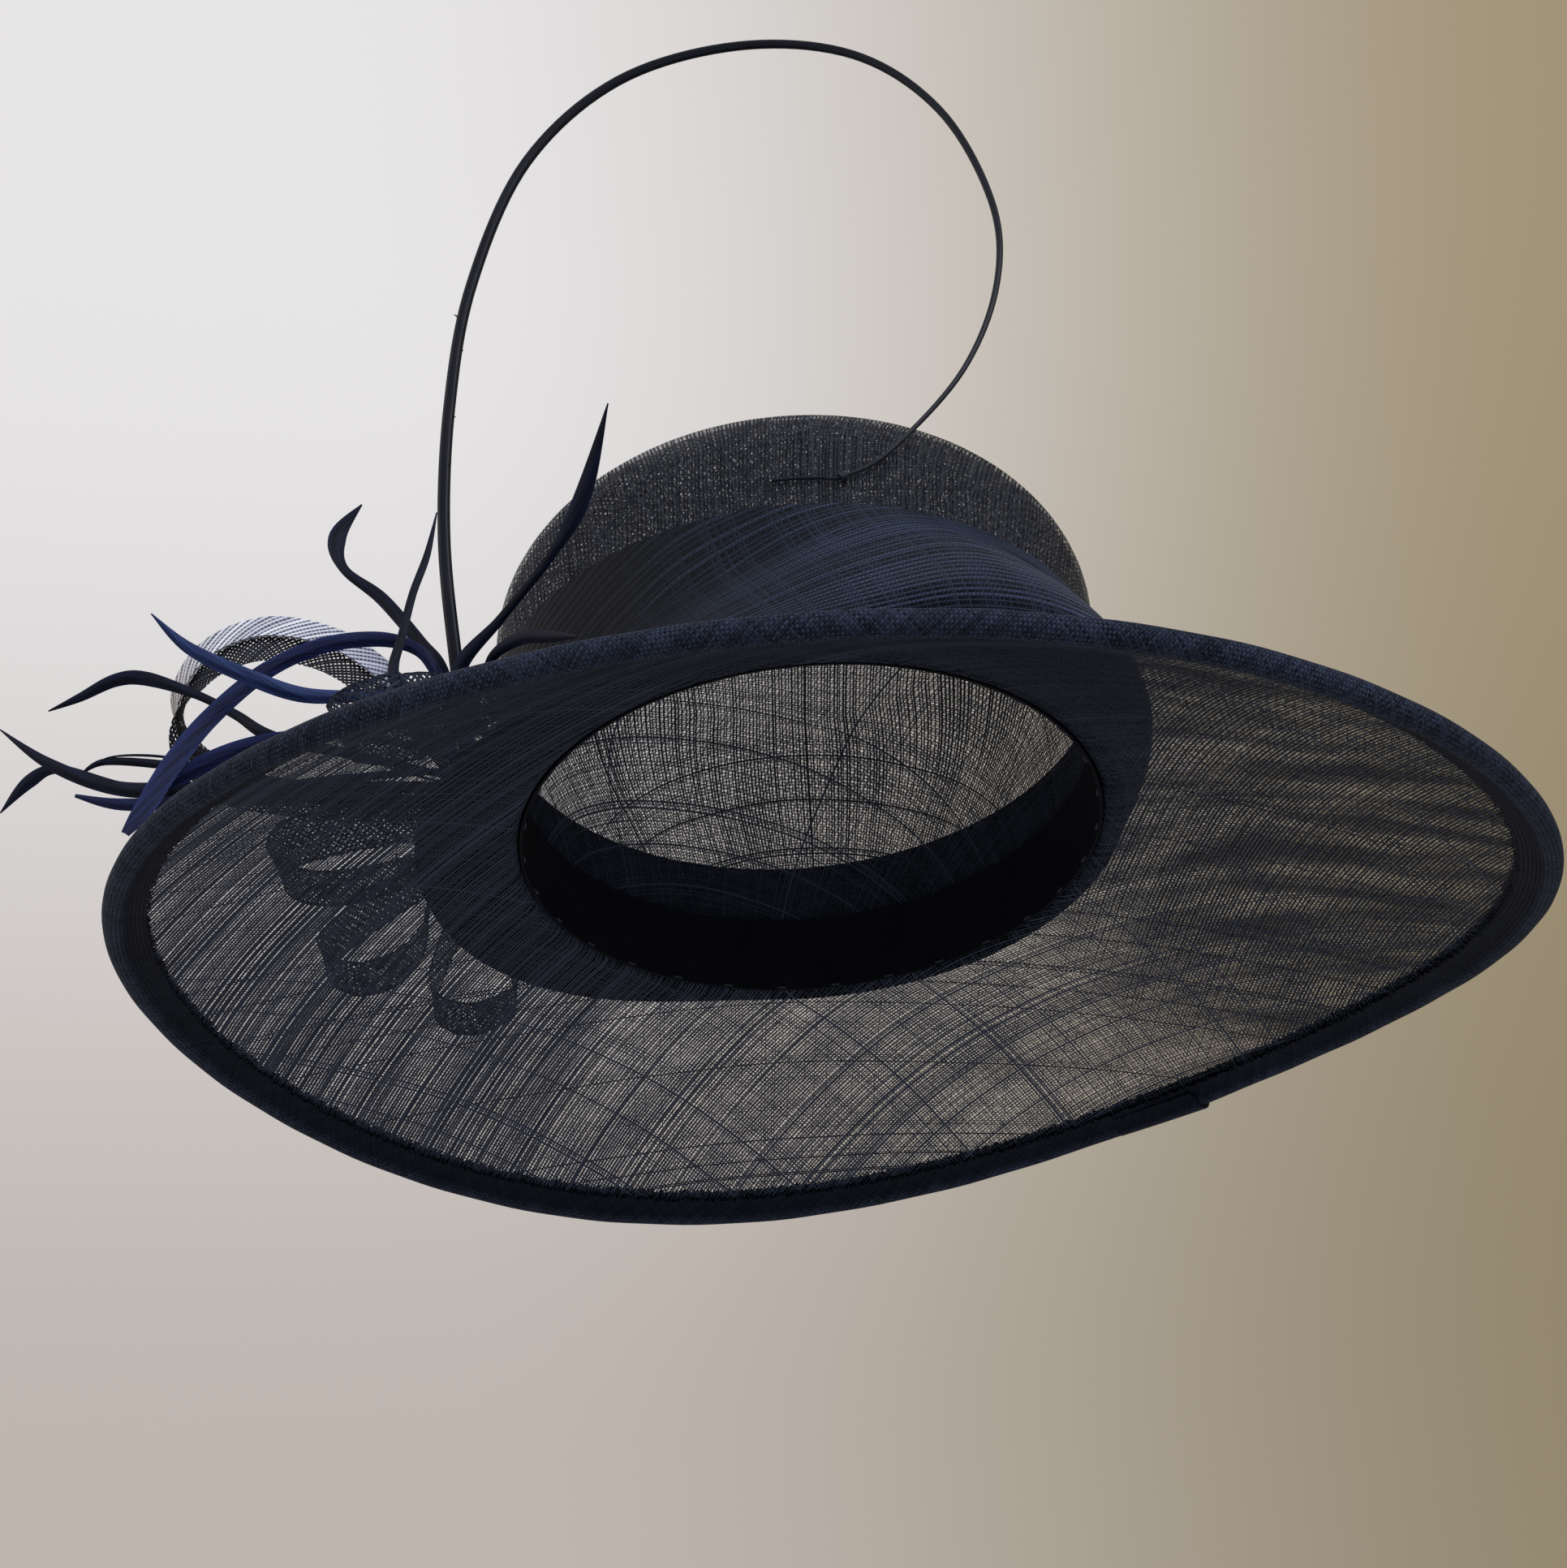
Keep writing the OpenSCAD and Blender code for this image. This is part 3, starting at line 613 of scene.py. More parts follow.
def section(t, s, n):
    """A point of the edge's cross-section: s out along the brim's slope, n square to it."""
    a = np.degrees(np.arctan(edge_z(t) * DROOP / reach(t)))
    centre = on_brim(t, reach(t), CLOTH / 2)
    return centre + raised(outward(t) * (s * cosd(a) - n * sind(a))[:, None], s * sind(a) + n * cosd(a))


def leg_point(t, inside, side, lift):
    return on_brim(t, reach(t) - inside, CLOTH / 2 + side * (CLOTH / 2 + GAP + lift))


def binding_section(t, tip, lift, bead):
    """Outer face of the folded strip: from the top leg's tip, over the bead, to the lower leg's tip."""
    leg = np.linspace(tip, LEG_FROM, LEG_ROWS)
    rows = [leg_point(t, x, 1, lift) for x in leg]
    rows += [section(t, bead * cosd(a), bead * sind(a)) for a in np.linspace(BEAD_TURN, -BEAD_TURN, 17)]
    rows += [leg_point(t, x, -1, lift) for x in leg[::-1]]
    return np.stack(rows, 1)


def strip_flat(rings, length):
    """Flat coordinates of a strip round the edge: along it, and across it from its middle."""
    across = widths(rings)
    return grid(np.linspace(0, length, len(rings) + 1), across - across.mean())


print("bound edge is", BEAD, "mm thick with legs of", LEG, "mm")

# %% Bias weave of the binding
BIAS, BIAS_PITCH, BIAS_SHARE = 48, 0.8, 0.85
FRAY_STEP, FRAY = 0.4, 1.8


def binding_finish(name, seed, half):
    """Dense bias weave, dark between its threads, with a fringe beyond half millimetres from its middle."""
    f = Finish(name)
    u, v = f.uv()
    warp_along, warp_across = turned(u, v, -BIAS)
    weft_along, weft_across = turned(u, v, BIAS)
    warp, warp_height, warp_luck = threads(f, warp_along, warp_across, BIAS_PITCH, BIAS_SHARE, seed)
    weft, weft_height, weft_luck = threads(f, weft_along, weft_across, BIAS_PITCH, BIAS_SHARE, seed + 13.0)
    pair = ((warp_across / BIAS_PITCH).floor() + (weft_across / BIAS_PITCH).floor()) * 0.5
    over = (pair - pair.floor()) > 0.25
    under = 1 - over
    straw = ((0.3 + 0.5 * warp_luck) * warp * over).most((0.1 + 0.4 * weft_luck) * weft * under)
    patches = 0.65 + 0.35 * f.cloud(u, v, 0.05, 2.0)
    # Painted light and shade: the rounded bead keeps the threads' full tone as a painted highlight, and the
    # flat legs of the same strip are painted darker as shade.
    bead_light_legs_shade = f.ramp(abs(v), BEAD * 0.9, BEAD * 1.3, 1.0, 0.3)
    fray = f.luck((u / FRAY_STEP).floor() + seed) * FRAY
    return f.shade(
        Base_Color=f.mix(straw * patches * bead_light_legs_shade, colour(0.003, 0.004, 0.007), colour(0.055, 0.071, 0.13)),
        Roughness=0.6, Specular_IOR_Level=0.05,
        Alpha=f.ramp(abs(v) - fray, half - 0.15, half + 0.15, 1.0, 0.0),
        Normal=f.bump((warp_height * over).most(weft_height * under), 0.0006, 0.8))


FRINGE, LINING_LIFT, LINING_IN = 3.0, 0.75, 0.4
wave = 0.14 * sind(around * 40) + 0.1 * sind(around * 17 + 40)
skin = binding_section(around, LEG + FRINGE, LEG_CLOTH, BEAD / 2)
skin[:, LEG_ROWS:-LEG_ROWS, 2] += wave[:, None] * 0.6
lining = binding_section(around, LEG + FRINGE, LINING_LIFT, BEAD / 2 - LINING_IN)
flat = strip_flat(skin, math.pi * (EDGE_W + EDGE_L) / 2)
half_width = float(np.abs(flat[0, :, 1]).max()) - FRINGE
piece("edge_binding_strip", shell(skin, lining), both_faces(flat),
      [binding_finish("bias_binding", 5.0, half_width)], ["edge_binding"])
print("binding strip is", round(2 * half_width), "mm wide when flat")

# %% [markdown]
# ## The lap and the wire
# The strip's two ends meet at the back, where one is wrapped over the other and sewn down. The same section
# is swept once more, a cloth's thickness further out, over a short arc, and pressed flat towards its far
# end. It could be a second curve, but then its legs would have to be fitted to the first. The wire lies
# inside the bead and keeps its solid, with a dull steel finish.

# %% Overlap of the binding's ends
LAP_AT, LAP_L, LAP_CLOTH, LAP_TIP, LAP_PRESSED = 57, 32, 0.9, 7.0, 0.15
NO_FRINGE = 60.0
span = math.degrees(LAP_L / (EDGE_W / 2))
arc = np.linspace(LAP_AT - span / 2, LAP_AT + span / 2, 25)
press = np.linspace(1, LAP_PRESSED, len(arc))[:, None, None]
strip_below = binding_section(arc, LAP_TIP, LEG_CLOTH, BEAD / 2)


def lap_face(thick):
    """One face of the lap, pressed on to the strip below towards its far end."""
    free = binding_section(arc, LAP_TIP, LEG_CLOTH + GAP + thick, BEAD / 2 + 2 * GAP + thick)
    return strip_below + press * (free - strip_below)


lap_skin = lap_face(LAP_CLOTH)
piece("binding_lap_end", shell(lap_skin, lap_face(0.0)), both_faces(strip_flat(lap_skin, LAP_L)),
      [binding_finish("bias_lap", 29.0, NO_FRINGE)], ["binding_lap"], wrap=False)
print("lap spans", round(span, 1), "degrees")

# %% Wire
steel = Finish("millinery_wire")
grain = steel.node("ShaderNodeTexNoise", {}, {"Scale": 900.0})
wire_finish = steel.shade(Base_Color=steel.mix(grain, colour(0.12, 0.12, 0.13), colour(0.22, 0.22, 0.23)),
                          Metallic=1.0, Roughness=0.45)
wire_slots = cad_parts["brim_wire"].data.materials
wire_slots.clear()
wire_slots.append(wire_finish)
print("wire is", WIRE, "mm thick")

# %% [markdown]
# ## Head ribbon
# A petersham ribbon lines the head opening. Its ribs run across it, and its upper edge is finely scalloped.
# The ribs are far too small to model, so they are a bump that follows the ribbon's length. The stitches
# along its lower edge are short bent threads, each a little swept tube that dips into the ribbon at both
# ends.

# %% Ribbon
RIBBON_W, RIBBON_CLOTH, RIBBON_UP, RIBBON_L, RIB = 25, 0.8, 1, 580, 0.9
SCALLOP = 0.25
grosgrain = Finish("petersham")
u, v = grosgrain.uv()
ribs = (u * (2 * math.pi / RIB)).sine()
worn = grosgrain.cloud(u, v, 0.08, 3.0)
petersham = grosgrain.shade(
    Base_Color=grosgrain.mix(worn, colour(0.0025, 0.003, 0.005), colour(0.007, 0.008, 0.012)),
    Roughness=0.7, Specular_IOR_Level=0.05, Normal=grosgrain.bump(ribs, 0.0002, 0.7))
fine = np.arange(720) * 0.5
heights = RIBBON_UP + np.array([0.15, 4, 8, 12.5, 17, 21, RIBBON_W - 0.3])
face = np.stack([raised(plan(fine, -GAP - RIBBON_CLOTH), h) for h in heights], 1)
face[:, -1, 2] += SCALLOP * np.abs(sind(fine * 180))
back = np.stack([raised(plan(fine, -GAP), h) for h in heights], 1)
ribbon_flat = both_faces(grid(np.linspace(0, RIBBON_L, len(fine) + 1), heights))
piece("head_ribbon_band", shell(face, back), ribbon_flat, [petersham], ["head_ribbon"])
print("ribbon stands", RIBBON_W, "mm high")

# %% Tubes of thread
SIGHT = np.array([0, 0.88, 0.48])


def tube(path, radii, girth, sides=8, shape=1.0):
    """Rings of a tube along a path, with its radius times a shape round it, and its flat coordinates: round
    it, and along it."""
    way = headings(path)
    side = unit(np.cross(way, SIGHT))
    over = np.cross(side, way)
    turn = np.arange(sides) * 360.0 / sides
    spokes = side[:, None] * cosd(turn)[:, None] + over[:, None] * sind(turn)[:, None]
    rings = path[:, None] + (np.reshape(radii, (-1, 1)) * (shape + 0 * turn))[..., None] * spokes
    return rings, grid(distance(path), np.linspace(0, girth, sides + 1))[..., ::-1]


def joined(name, tubes, finish, replaces=()):
    """Several tubes, each given as its rings and flat coordinates, as one piece."""
    parts = [piece(f"{name}_{k}", rings, flat, [finish], wrap=False) for k, (rings, flat) in enumerate(tubes)]
    with bpy.context.temp_override(active_object=parts[0], selected_editable_objects=parts):
        bpy.ops.object.join()
    parts[0].name = name
    if replaces:
        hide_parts(*replaces)


twist = Finish("sewing_thread")
u, v = twist.uv()
plies = ((u * 3.0 + v * 2.4) * 2.0).sine()
lit = twist.ramp(plies, -1.0, 1.0)
thread_finish = twist.shade(
    Base_Color=twist.mix(lit, colour(0.004, 0.005, 0.009), colour(0.02, 0.024, 0.04)),
    Roughness=0.5, Specular_IOR_Level=0.3, Normal=twist.bump(plies, 0.0001, 0.8))
print("thread ready")

# %% Stitches along the ribbon
STITCH_PLACES, STITCH_HALF, STITCH_UP = 60, 1.15, 0.7
STITCH_OUT, STITCH_SINK, STITCH_R = 0.38, 0.28, 0.33
bent = np.linspace(-1, 1, 9)
stitches = []
for k in range(0, STITCH_PLACES, 2):
    t = 360 * (k + 0.5) / STITCH_PLACES + STITCH_HALF * bent
    inset = GAP + RIBBON_CLOTH + STITCH_OUT - STITCH_SINK * bent ** 4
    path = raised(plan(t, -inset), RIBBON_UP + STITCH_UP)
    stitches.append(tube(path, STITCH_R * np.sqrt(1.05 - bent ** 6), 2.1))
joined("ribbon_stitch_row", stitches, thread_finish, ["ribbon_stitches"])
print("stitches:", len(stitches))

# %% [markdown]
# ## Sash
# A wide bias-cut band covers the join between crown and brim. Under the trim it flares out on to the brim
# in one hollow curve, and away from the trim it puffs softly off the crown. Cloth simulation would settle
# it, but a stiffened band keeps the shape that it was dried in, so it is swept from the same section as its
# solid, and its weave runs on the slant.

# %% Section of the sash
SASH_TOP, SASH_FLARE, SASH_RISE, SASH_CLOTH, SASH_BEND = 47, 26, 22, 1.0, 78
SASH_FOOT, SASH_PUFF, PUFF_AT, PUFF_HEIGHT = 2, 14, -60, 1.2
PUFF_RISE = SASH_TOP - 5
SASH_IN = CROWN_OUT + GAP
TRIM_AT, FLARE_WHOLE, FLARE_NONE = 200.0, 30, 100


def flared(t):
    """Share of the hollow flare: whole under the trim, and none away from it."""
    share = (cosd(t - TRIM_AT) - cosd(FLARE_NONE)) / (cosd(FLARE_WHOLE) - cosd(FLARE_NONE))
    share = np.clip(share, 0, 1)
    return share * share * (3 - 2 * share)


def sash_line(t, a):
    """Distance out and height of the sash's inner face, by direction and by an angle up its section."""
    share = flared(t)
    puff = SASH_PUFF * (1 + cosd(t - PUFF_AT)) / 2 * sind(180 * (max(a, 0) / 90) ** PUFF_HEIGHT)
    d = SASH_IN + (1 - share) * (SASH_FOOT * (1 - a / 90) + puff) + share * SASH_FLARE * (1 - sind(a))
    z = (1 - share) * PUFF_RISE * a / 90 + share * SASH_RISE * (1 - cosd(a))
    return d + FLARE * z / CROWN_H, brim_z(t, d) + CLOTH + GAP + z


def sash_normal(t, a):
    (d1, z1), (d0, z0) = sash_line(t, a + 1), sash_line(t, a - 1)
    run = unit(np.stack([d1 - d0 + 0 * t, z1 - z0 + 0 * t], -1))
    return raised(outward(t) * run[..., 1:], -run[..., 0])


def sash_curve(t, a, lift):
    d, z = sash_line(t, a)
    return raised(plan(t, d + 0 * t), z) + lift * sash_normal(t, a)


def sash_face(t, lift):
    rows = [sash_curve(t, a, lift) for a in np.linspace(0, SASH_BEND, 15)]
    low = PUFF_RISE + (SASH_RISE - PUFF_RISE) * flared(t) + CLOTH + GAP
    rows += [crown_wall(t, low + (SASH_TOP - low) * share, GAP + lift) for share in np.linspace(0, 1, 10)]
    return np.stack(rows, 1)


sash_out, sash_back = sash_face(around, SASH_CLOTH), sash_face(around, 0.0)
climb = widths(sash_out)
print("sash climbs", round(float(climb[-1])), "mm")

# %% Draped sash
SASH_WIDE, SASH_ROUND, PAINTED_SHEEN_FROM = 62, 640, 2.0


def bias_cloth(name, runs, crosses, pitch, seed, dark, light, painted_sheen_light=None):
    """Close cloth on the slant: fine light threads broken into dashes by the dark threads that cross them.
    Round the sash the light threads can take a painted bluish sheen, a painted highlight that is strongest at
    the front right, on the window's side, and fades round the other side."""
    f = Finish(name)
    u, v = f.uv()
    sway = f.cloud(u, v, 0.02, 1.0)
    warp_along, warp_across = turned(u + 3 * sway, v - 3 * sway, runs)
    weft_along, weft_across = turned(u - 3 * sway, v + 4 * sway, crosses)
    warp, warp_height, warp_luck = threads(f, warp_along, warp_across, pitch, 0.5, seed, 0.4)
    weft, weft_height, weft_luck = threads(f, weft_along, weft_across, pitch * 0.8, 0.5, seed + 41.0, 0.4)
    patches = f.ramp(f.cloud(warp_along * 0.014, warp_across * 0.03, 1.0, 2.0), 0.3, 0.7, 0.6, 1.1)
    dashes = warp * (0.45 + 0.55 * warp_luck) * (1.0 - 0.6 * weft)
    tone = dashes.most(weft * weft_luck * 0.4) * patches
    # Painted highlight: a bluish sheen painted on the window's side of the sash, fading round to the far
    # side.
    painted_sheen_side = (u * (2 * math.pi / SASH_ROUND) + PAINTED_SHEEN_FROM).sine()
    painted_sheen_colour = f.mix(f.ramp(painted_sheen_side, -0.1, 0.9), light, painted_sheen_light or light)
    return f.shade(Base_Color=f.mix(f.ramp(tone, 0.0, 1.0), dark, painted_sheen_colour), Roughness=0.55,
                   Specular_IOR_Level=0.08, Normal=f.bump(warp_height.most(weft_height * 0.7), 0.0004, 0.6))


# The last colour is the painted bluish sheen.
sash_weave = bias_cloth("bias_sash", 10, -62, 1.3, 9.0, colour(0.004, 0.005, 0.008),
                        colour(0.014, 0.0155, 0.022), colour(0.068, 0.092, 0.17))
sash_flat = both_faces(grid(np.linspace(0, SASH_ROUND, STATIONS + 1), climb))
sash = piece("crown_sash_band", shell(sash_out, sash_back), sash_flat, [sash_weave], ["crown_sash"])

# %% [markdown]
# ## Where the trim is sewn
# Everything on the side of the hat starts from one pad on the sash. Each stem leaves the pad square to it
# and then follows a few points that bend it to its place. A smooth curve through those points could be a
# Blender curve object. A function is simpler here, because strips need their own frame at each step, not a
# round bevel.

# %% Seats, stems and smooth paths
PATCH_CLOTH, STEM = 2.0, 6.0
PATCH_LIFT = SASH_CLOTH + GAP
SEAT_LIFT = PATCH_LIFT + PATCH_CLOTH + 1.5 * GAP


def one(t):
    return np.array([float(t)])


def stem(turn, rise):
    t = one(TRIM_AT + turn)
    foot, way = sash_curve(t, rise, SEAT_LIFT)[0], sash_normal(t, rise)[0]
    return [foot + s * STEM * way for s in (0, 0.5, 1)]


ANCHOR = sash_curve(one(TRIM_AT), 45, SEAT_LIFT)[0]


def placed(points):
    return [ANCHOR + np.array(p, float) for p in points]


def smooth(points, steps):
    """Curve through every point, with a number of steps between each pair."""
    p = np.array([points[0], *points, points[-1]])
    out = []
    for i in range(1, len(p) - 2):
        a, b, c, d = p[i - 1:i + 3]
        for u in np.arange(steps) / steps:
            start = 2 * b + (c - a) * u + (2 * a - 5 * b + 4 * c - d) * u * u
            out.append(0.5 * (start + (3 * b - a - 3 * c + d) * u ** 3))
    return np.array(out + [p[-1]])


print("trim starts from", ANCHOR.round(1))

# %% [markdown]
# ## Trim pad
# The pad is a doubled scrap of sinamay, hidden by the stems that are sewn through it. A flat patch could be
# shrunk on to the sash. It is swept along the sash's curve instead, and puckered a little, as cloth is
# between tight stitches.

# %% Puckered pad
PAD_L, PAD_W, PUCKER = 95, 40, 0.35
pad_t, pad_a = np.linspace(TRIM_AT - 30, TRIM_AT + 22, 61), np.linspace(12, 76, 21)


def pad_face(lift):
    return np.stack([sash_curve(pad_t, a, lift) for a in pad_a], 1)


pucker_along = np.abs(np.sin(np.linspace(0, 29, len(pad_t))))
pucker_across = np.abs(np.sin(np.linspace(0.3, 9.0, len(pad_a))))
pad_low, pad_high = pad_face(PATCH_LIFT), pad_face(PATCH_LIFT + PATCH_CLOTH)
pad_high += PUCKER * np.outer(pucker_along, pucker_across)[..., None] * (pad_low - pad_high) / PATCH_CLOTH
pad_flat = both_faces(grid(np.linspace(0, PAD_L, len(pad_t) + 1), np.linspace(0, PAD_W, len(pad_a))))
pad_weave = bias_cloth("trim_pad_weave", -55, 35, 1.1, 87.0, navy_dark, navy_light)
piece("trim_pad", shell(pad_low, pad_high), pad_flat, [pad_weave], ["trim_patch"], wrap=False)
print("pad is", PAD_L, "by", PAD_W, "mm when flat")

# %% [markdown]
# ## Loops of cloth
# Each loop is a strip of bias sinamay folded back on itself and gathered at the pad. The broad one is two
# strips together, navy inside and silver along its upper edge. A strip is swept along its path with its
# width standing up, slightly cupped. A cloth modifier could settle each strip, but the stiffened loops keep
# the curves that the milliner gave them. Those that lie on the brim spring open a little further than their
# solids.

# %% Strips that stand on edge
LOOP_W, TWO_TONE_W, LOOP_END, LOOP_CLOTH = 15.0, 17.0, 5.0, 0.8
LOOP_FACES, LOOP_CUP = (0.2, 0.5), 0.04
RUCK, RUCK_REACH, RUCK_FOLDS = 0.25, 0.06, 14
FOLD_INSIDE, FOLD_LAYER = 0.985, 0.25


def loop_path(first, last, points, steps):
    return smooth(stem(*first) + placed(points) + stem(*last)[::-1], steps)


def loop_frame(path, width, stand):
    """Half width, width direction and normal at each step of a loop."""
    way = headings(path)
    normal = unit(np.cross(way, stand))
    u = np.linspace(0, 1, len(path))
    half = (LOOP_END + (width - LOOP_END) * np.clip(np.sin(math.pi * u), 0, 1) ** 0.7) / 2
    return half, np.cross(normal, way), normal


def beside(path, wide, normal, across, off):
    """Points so far across a path and so far off it."""
    off = off + 0 * across
    return path[:, None] + across[..., None] * wide[:, None] + off[..., None] * normal[:, None]


def strip_cut(across, along):
    """Flat coordinates of a strip: across it, and along it."""
    return np.stack([across, along[:, None] + 0 * across], -1)


def loop_strip(path, width, stand):
    """Rings of a thin cupped strip along a path, rucked at its gathered ends, and its flat coordinates."""
    half, wide, normal = loop_frame(path, width, stand)
    u = np.linspace(0, 1, len(path))
    shares = np.linspace(-1, 1, 13)
    across = np.outer(half, shares)
    bend = LOOP_CUP * np.outer(half, shares ** 2)
    bend += RUCK * np.outer(np.exp(-(np.minimum(u, 1 - u) / RUCK_REACH) ** 2), np.sin(shares * RUCK_FOLDS))
    front, back = (beside(path, wide, normal, across, -(thick + bend)) for thick in LOOP_FACES)
    return shell(front, back), both_faces(strip_cut(across, distance(path)))


def folded_strip(path, width, stand, low, out, thick, short):
    """Rings of a strip folded double along its upper edge, so that both raw edges lie at the bottom."""
    kept = slice(short, len(path) - short)
    half, wide, normal = (x[kept] for x in loop_frame(path, width, stand))
    rise, inside = np.linspace(low, 1, 9), np.linspace(low, FOLD_INSIDE, 9)
    layers = [(rise, out + thick, rise), (rise[::-1], out, 2 - rise[::-1]),
              (inside, out + FOLD_LAYER, 2 - inside), (inside[::-1], out + thick - FOLD_LAYER, inside[::-1])]
    rings = [beside(path[kept], wide, normal, np.outer(half, up), -off) for up, off, _ in layers]
    flat = [strip_cut(np.outer(half, cut), distance(path)[kept]) for _, _, cut in layers]
    return np.concatenate(rings, 1), np.concatenate(flat + [flat[0][:, :1]], 1)


print("loops are", LOOP_W, "and", TWO_TONE_W, "mm wide")

# %% Weaves of the loops
def silver_finish():
    """Pale silver threads on the slant, painted lilac-blue and darker towards one end as painted shade, and
    painted warm beige, a painted reflection, where the strip turns away.
    """
    f = Finish("silver_weave")
    u, v = f.uv()
    warp, warp_height, chance = threads(f, *turned(u, v, -52), 1.5, 0.6, 3.0)
    weft, weft_height, _ = threads(f, *turned(u, v, 40), 1.0, 0.62, 31.0)
    cover = 1.0 - (1.0 - warp) * (1.0 - weft * 0.9)
    # Painted shade: the white threads turn lilac-blue and darker towards one end of the strip.
    thread_painted_shade = f.mix(f.ramp(v, 62.0, 36.0), colour(0.78, 0.78, 0.84), colour(0.34, 0.36, 0.54))
    base = f.mix(warp * (0.6 + 0.4 * chance), colour(0.22, 0.225, 0.31), thread_painted_shade)
    # Painted reflection: warm beige where the strip turns away.
    return f.shade(Base_Color=f.mix(f.ramp(v, 95.0, 120.0), base, colour(0.45, 0.40, 0.36)), Roughness=0.5,
                   Alpha=f.ramp(cover, 0.0, 1.0, 0.2, 1.0), Specular_IOR_Level=0.15,
                   Normal=f.bump(warp_height.most(weft_height), 0.0004, 0.8))


loop_mesh = sinamay("loop_mesh", Straws(135, 1.3, 0.5), Straws(45, 1.2, 0.5), 13.0,
                    colour(0.005, 0.0055, 0.009), colour(0.02, 0.022, 0.032))
open_mesh = sinamay("open_loop_mesh", Straws(135, 1.3, 0.44), Straws(45, 1.2, 0.44), 33.0,
                    navy_dark, navy_light, selvedge=6.4)
silver_weave = silver_finish()
print("loop weaves:", loop_mesh.name, open_mesh.name, silver_weave.name)

# %% Two-tone loop
def cloth_loop(name, node, path, width, stand, finish):
    rings, flat = loop_strip(path, width, stand)
    made = piece(name, rings, flat, [finish], [node], wrap=False)


LEAN = np.array([0, 0.28, 0.96])
SILVER_LOW, SILVER_SHORT, SILVER_OUT = 0.05, 24, LOOP_CLOTH + 2.5 * GAP
two_tone = loop_path((-7, 60), (-7, 33), [
    (-12, 2, 15), (-19, -4, 23), (-30, -5, 36), (-42, -5, 45), (-58, -4, 50), (-72, -2, 47), (-80, 0, 38),
    (-82, 2, 28), (-79, 5, 19), (-71, 8, 12), (-53, 10, 7), (-30, 12, 3)], 9)
cloth_loop("two_tone_inside", "loop_lining", two_tone, TWO_TONE_W, LEAN, loop_mesh)
rings, flat = folded_strip(two_tone, TWO_TONE_W, LEAN, SILVER_LOW, SILVER_OUT, LOOP_CLOTH, SILVER_SHORT)
silver = piece("two_tone_silver", rings, flat, [silver_weave], ["loop_silver"], wrap=False)

# %% Navy loops that lie on the brim
SPRUNG_LEAN = 0.4
brim_grid = np.concatenate([on_brim(around, d, CLOTH) for d in np.linspace(4, 115, 75)])


def brim_under(path):
    """Height of the brim under each point of a path."""
    return np.array([brim_grid[np.argmin(((brim_grid[:, :2] - p[:2]) ** 2).sum(1)), 2] for p in path])


def sprung(path, share):
    """The same loop, sprung open level with the brim: each point further from the line between its foot and
    its far turn, by a share that fades out at the gathered ends, with the way that its strip then leans."""
    fade = np.sin(math.pi * np.linspace(0, 1, len(path))) ** 0.6
    foot, middle = (path[0] + path[-1]) / 2, path.mean(0)
    far = path[np.argmax(np.linalg.norm(path - foot, axis=1))]
    axis = unit((far - foot)[:2])
    side = np.array([-axis[1], axis[0]])
    out = path.copy()
    out[:, :2] += ((path - middle)[:, :2] @ side * share * fade)[:, None] * side
    out[:, 2] += brim_under(out) - brim_under(path)
    away = (out - middle) * [1, 1, 0]
    away /= np.maximum(np.linalg.norm(away, axis=1), 1)[:, None]
    return out, np.array([0, 0, 1]) + SPRUNG_LEAN * fade[:, None] * away


loops = {
    "front": (0.4, (19, 48), (19, 24), [
        (3, -44, 1), (-4, -53, -4), (-13, -60, -8), (-22, -62, -11), (-27, -56, -11), (-22, -49, -10),
        (-13, -44, -8), (-7, -40, -5)]),
    "left": (0.15, (-13, 60), (-13, 33), [
        (-21, 24, 4), (-38, 20, 0), (-54, 21, -3), (-61, 32, -4), (-56, 42, -4), (-42, 46, -3),
        (-22, 40, -1)]),
    "back_left": (0.4, (-19, 60), (-19, 33), [
        (-16, 50, 6), (-30, 65, 2), (-46, 80, -1), (-57, 94, -4), (-53, 104, -6), (-41, 98, -6),
        (-29, 80, -4), (-21, 56, -1)]),
    "back": (0.4, (-26, 60), (-26, 33), [
        (-7, 67, 8), (-15, 88, 4), (-22, 108, 1), (-28, 130, -4), (-22, 142, -6), (-11, 136, -4),
        (-8, 116, -1), (-8, 94, 2), (-6, 76, 3)]),
}
for name, (spring, first, last, points) in loops.items():
    path, stand = sprung(loop_path(first, last, points, 8), spring)
    cloth_loop(f"navy_loop_{name}", f"loop_{name}", path, LOOP_W, stand, open_mesh)

# %% [markdown]
# ## Feather strips
# Biots are the short side of a flight feather, stripped from its quill: narrow at the root, broadest past
# the middle, and drawn out to a fine tip. Particle hair could draw every barb. Each strip is a thin blade
# instead, cupped along its rib, because its barbs lie side by side at a low slant, which the finish draws
# as fine lines. Where a strip has split, a sliver of barbs bows away from it and joins it again.

# %% Blades
BLADE_THICK, BLADE_FOLD, BLADE_THIN = 0.36, 0.3, 0.6


def feather_finish(name, dark, light, seed):
    f = Finish(name)
    u, v = f.uv()
    _, height, chance = threads(f, *turned(u, v, -78), 0.55, 1.1, seed)
    streak = f.cloud(u * 0.8, v * 0.03, 1.0, 2.0)
    edge_light = f.ramp(abs(u), 0.9, 2.4)
    tone = f.ramp(0.5 * streak + 0.35 * chance + 0.35 * edge_light, 0.2, 0.95)
    return f.shade(Base_Color=f.mix(tone, dark, light), Roughness=0.45, Specular_IOR_Level=0.1,
                   Normal=f.bump(height, 0.00012, 0.7))


